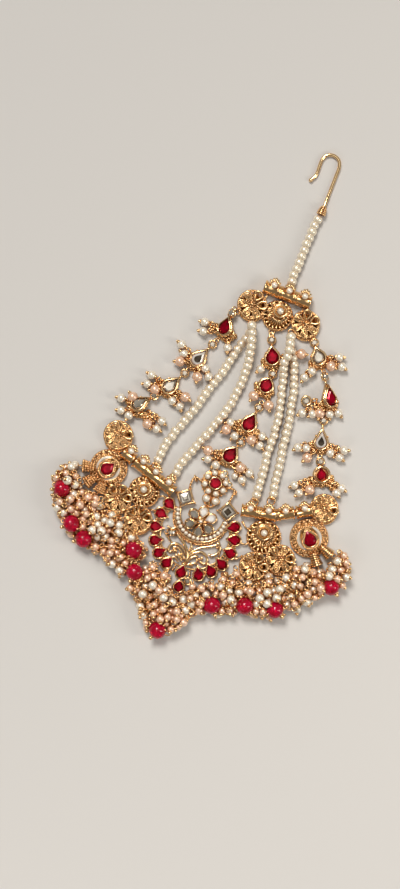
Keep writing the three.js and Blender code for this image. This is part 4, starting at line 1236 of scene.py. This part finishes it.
fringe_chance = random.Random(21)
for node in ("fringe_left", "fringe_centre", "fringe_right"):
    low, high = solid_box(node)
    far = high[0] + (4.0 if node == "fringe_centre" else -1.2)
    over = inside_solid(node)
    fringe = Work()
    laid = [(*p, BEAD_ROOM) for p in red_places]
    own = []
    for z, tries in LAYERS:
        for _ in range(tries):
            x = fringe_chance.uniform(low[0] + 1.2, far)
            y = fringe_chance.uniform(low[1] + 1.2, high[1] - 1.2)
            if not clear_of_edge(over, x, y, 1.3 if z < 6 else 3.2, SIX_WAYS):
                continue
            to_gold = unit((x, y - 14)) * 8
            inner = math.hypot(x, y + 6) < 27 or not over(x - to_gold[0], y - to_gold[1])
            cream = fringe_chance.random() < (0.68 if inner else 0.36)
            radius = fringe_chance.uniform(1.5 if cream else 1.15, 1.65)
            height = z + fringe_chance.uniform(-0.2, 0.5)
            if all(math.dist((x, y, height), p[:3]) > (radius + p[3]) * CLOSENESS for p in laid):
                laid.append((x, y, height, radius))
                own.append((x, y, height, radius, cream))
    for x, y, z, radius, cream in own:
        away = unit(np.array([x, y]) - FRINGE_MIDDLE)
        spin = fringe_chance.uniform(-50, 50)
        fringe.put(x, y, z, heading_of(away) + spin)
        upward = cream and fringe_chance.random() < 0.3
        rise = 1.6 if upward else fringe_chance.uniform(-0.4, 0.9)
        way = unit((1, 0, rise))
        finish = "cream_pearl" if cream else "peach_pearl"
        ball(fringe, (0, 0, 0), radius, finish, way, 0.95, 16, 11)
        ball(fringe, way * (radius + 0.15), 0.42 if upward else 0.58, "polished_gold",
             sides=9, rings=6)
        ring(fringe, way * radius * 0.9, 0.62, 0.2, normal=way, steps=10, sides=5)
        ring(fringe, -way * radius * 0.92, 0.62, 0.24, normal=way, steps=10, sides=5)
        if z > 3:
            ring(fringe, -way * (radius + 0.7), 0.75, 0.24,
                 normal=(0, fringe_chance.uniform(-1, 1), 1), steps=11, sides=5)
    # Loose rings and granules between the pearls. Their places aren't tested for room, so
    # some run into the pearls and the red beads.
    for _ in range(int((high[0] - low[0]) * (high[1] - low[1]) * 0.5)):
        x = fringe_chance.uniform(low[0] + 1.4, high[0] - 1.4)
        y = fringe_chance.uniform(low[1] + 1.4, high[1] - 1.4)
        if not clear_of_edge(over, x, y, 1.4, FOUR_WAYS):
            continue
        fringe.put(x, y, fringe_chance.uniform(3.0, 5.6))
        tilt = (fringe_chance.uniform(-1, 1), fringe_chance.uniform(-1, 1), 0.8)
        ring(fringe, (0, 0, 0), fringe_chance.uniform(0.7, 1.0), 0.24, normal=tilt,
             steps=11, sides=5)
        ball(fringe, (0.9, 0.3, 0.2), 0.46, "polished_gold", sides=8, rings=5)
    fringe.done(f"{node}_of_pearls", [node], "peach_pearl")


# Where it lies: a plain pale floor under a broad soft sun and three softboxes. The camera
# looks straight down and is rolled by twenty degrees.
FLOOR_REACH = 20
FLOOR_DROP = 0.00005
floor_material = bpy.data.materials.new("pale_floor")
floor_material.use_nodes = True
floor_shader = floor_material.node_tree.nodes["Principled BSDF"]
floor_shader.inputs["Base Color"].default_value = (0.66, 0.645, 0.62, 1)
floor_shader.inputs["Roughness"].default_value = 0.85
floor_mesh = bpy.data.meshes.new("floor")
CORNERS = ((-1, -1), (1, -1), (1, 1), (-1, 1))
floor_corners = [(FLOOR_REACH * x, FLOOR_REACH * y, 0) for x, y in CORNERS]
floor_mesh.from_pydata(floor_corners, [], [(0, 1, 2, 3)])
floor_mesh.materials.append(floor_material)
floor = bpy.data.objects.new("floor", floor_mesh)
bpy.context.scene.collection.objects.link(floor)
floor.location.z = cad_low.z - FLOOR_DROP


SUN_SPREAD = 0.36


def lamp(name, place, aim, size, power, colour, in_gloss):
    """A softbox of that size or, with no size, a broad sun, aimed at a place."""
    if size is None:
        light = bpy.data.lights.new(name, "SUN")
        light.angle = SUN_SPREAD
    else:
        light = bpy.data.lights.new(name, "AREA")
        light.shape = "RECTANGLE"
        light.size, light.size_y = size
    light.energy = power
    light.color = colour
    holder = bpy.data.objects.new(name, light)
    holder.location = place
    holder.visible_glossy = in_gloss
    way = Vector(aim) - Vector(place)
    holder.rotation_euler = way.to_track_quat("-Z", "Y").to_euler()
    bpy.context.scene.collection.objects.link(holder)


lamp("key_light", (-0.20, 0.24, 0.50), (0, -0.02, 0), None, 2.1, (1, 0.96, 0.91), True)
lamp("top_softbox", (-0.10, 0.08, 0.95), (0, -0.02, 0), (0.52, 0.40), 0.7, (1, 0.98, 0.95), True)
lamp("side_softbox", (0.42, 0.02, 0.30), (0, -0.02, 0), (0.12, 0.26), 0.7, (1, 0.93, 0.84), True)
lamp("low_softbox", (-0.05, -0.45, 0.28), (0, -0.04, 0), (0.30, 0.08), 0.4, (1, 0.95, 0.90), False)

world = bpy.data.worlds.new("studio")
world.use_nodes = True
world.node_tree.nodes["Background"].inputs["Color"].default_value = (1, 0.97, 0.94, 1)
world.node_tree.nodes["Background"].inputs["Strength"].default_value = 0.18
bpy.context.scene.world = world
bpy.context.scene.view_settings.view_transform = "Standard"

VIEW_HEIGHT = 0.31115
CAMERA_DISTANCE = 0.62
CAMERA_ROLL = 20
camera_data = bpy.data.cameras.new("camera")
camera_data.sensor_fit = "VERTICAL"
camera_data.sensor_height = 36
camera_data.lens = 36 * CAMERA_DISTANCE / VIEW_HEIGHT
camera = bpy.data.objects.new("camera", camera_data)
camera.location = (-0.01003, -0.02116, CAMERA_DISTANCE)
camera.rotation_euler = (0, 0, math.radians(CAMERA_ROLL))
bpy.context.scene.collection.objects.link(camera)
bpy.context.scene.camera = camera
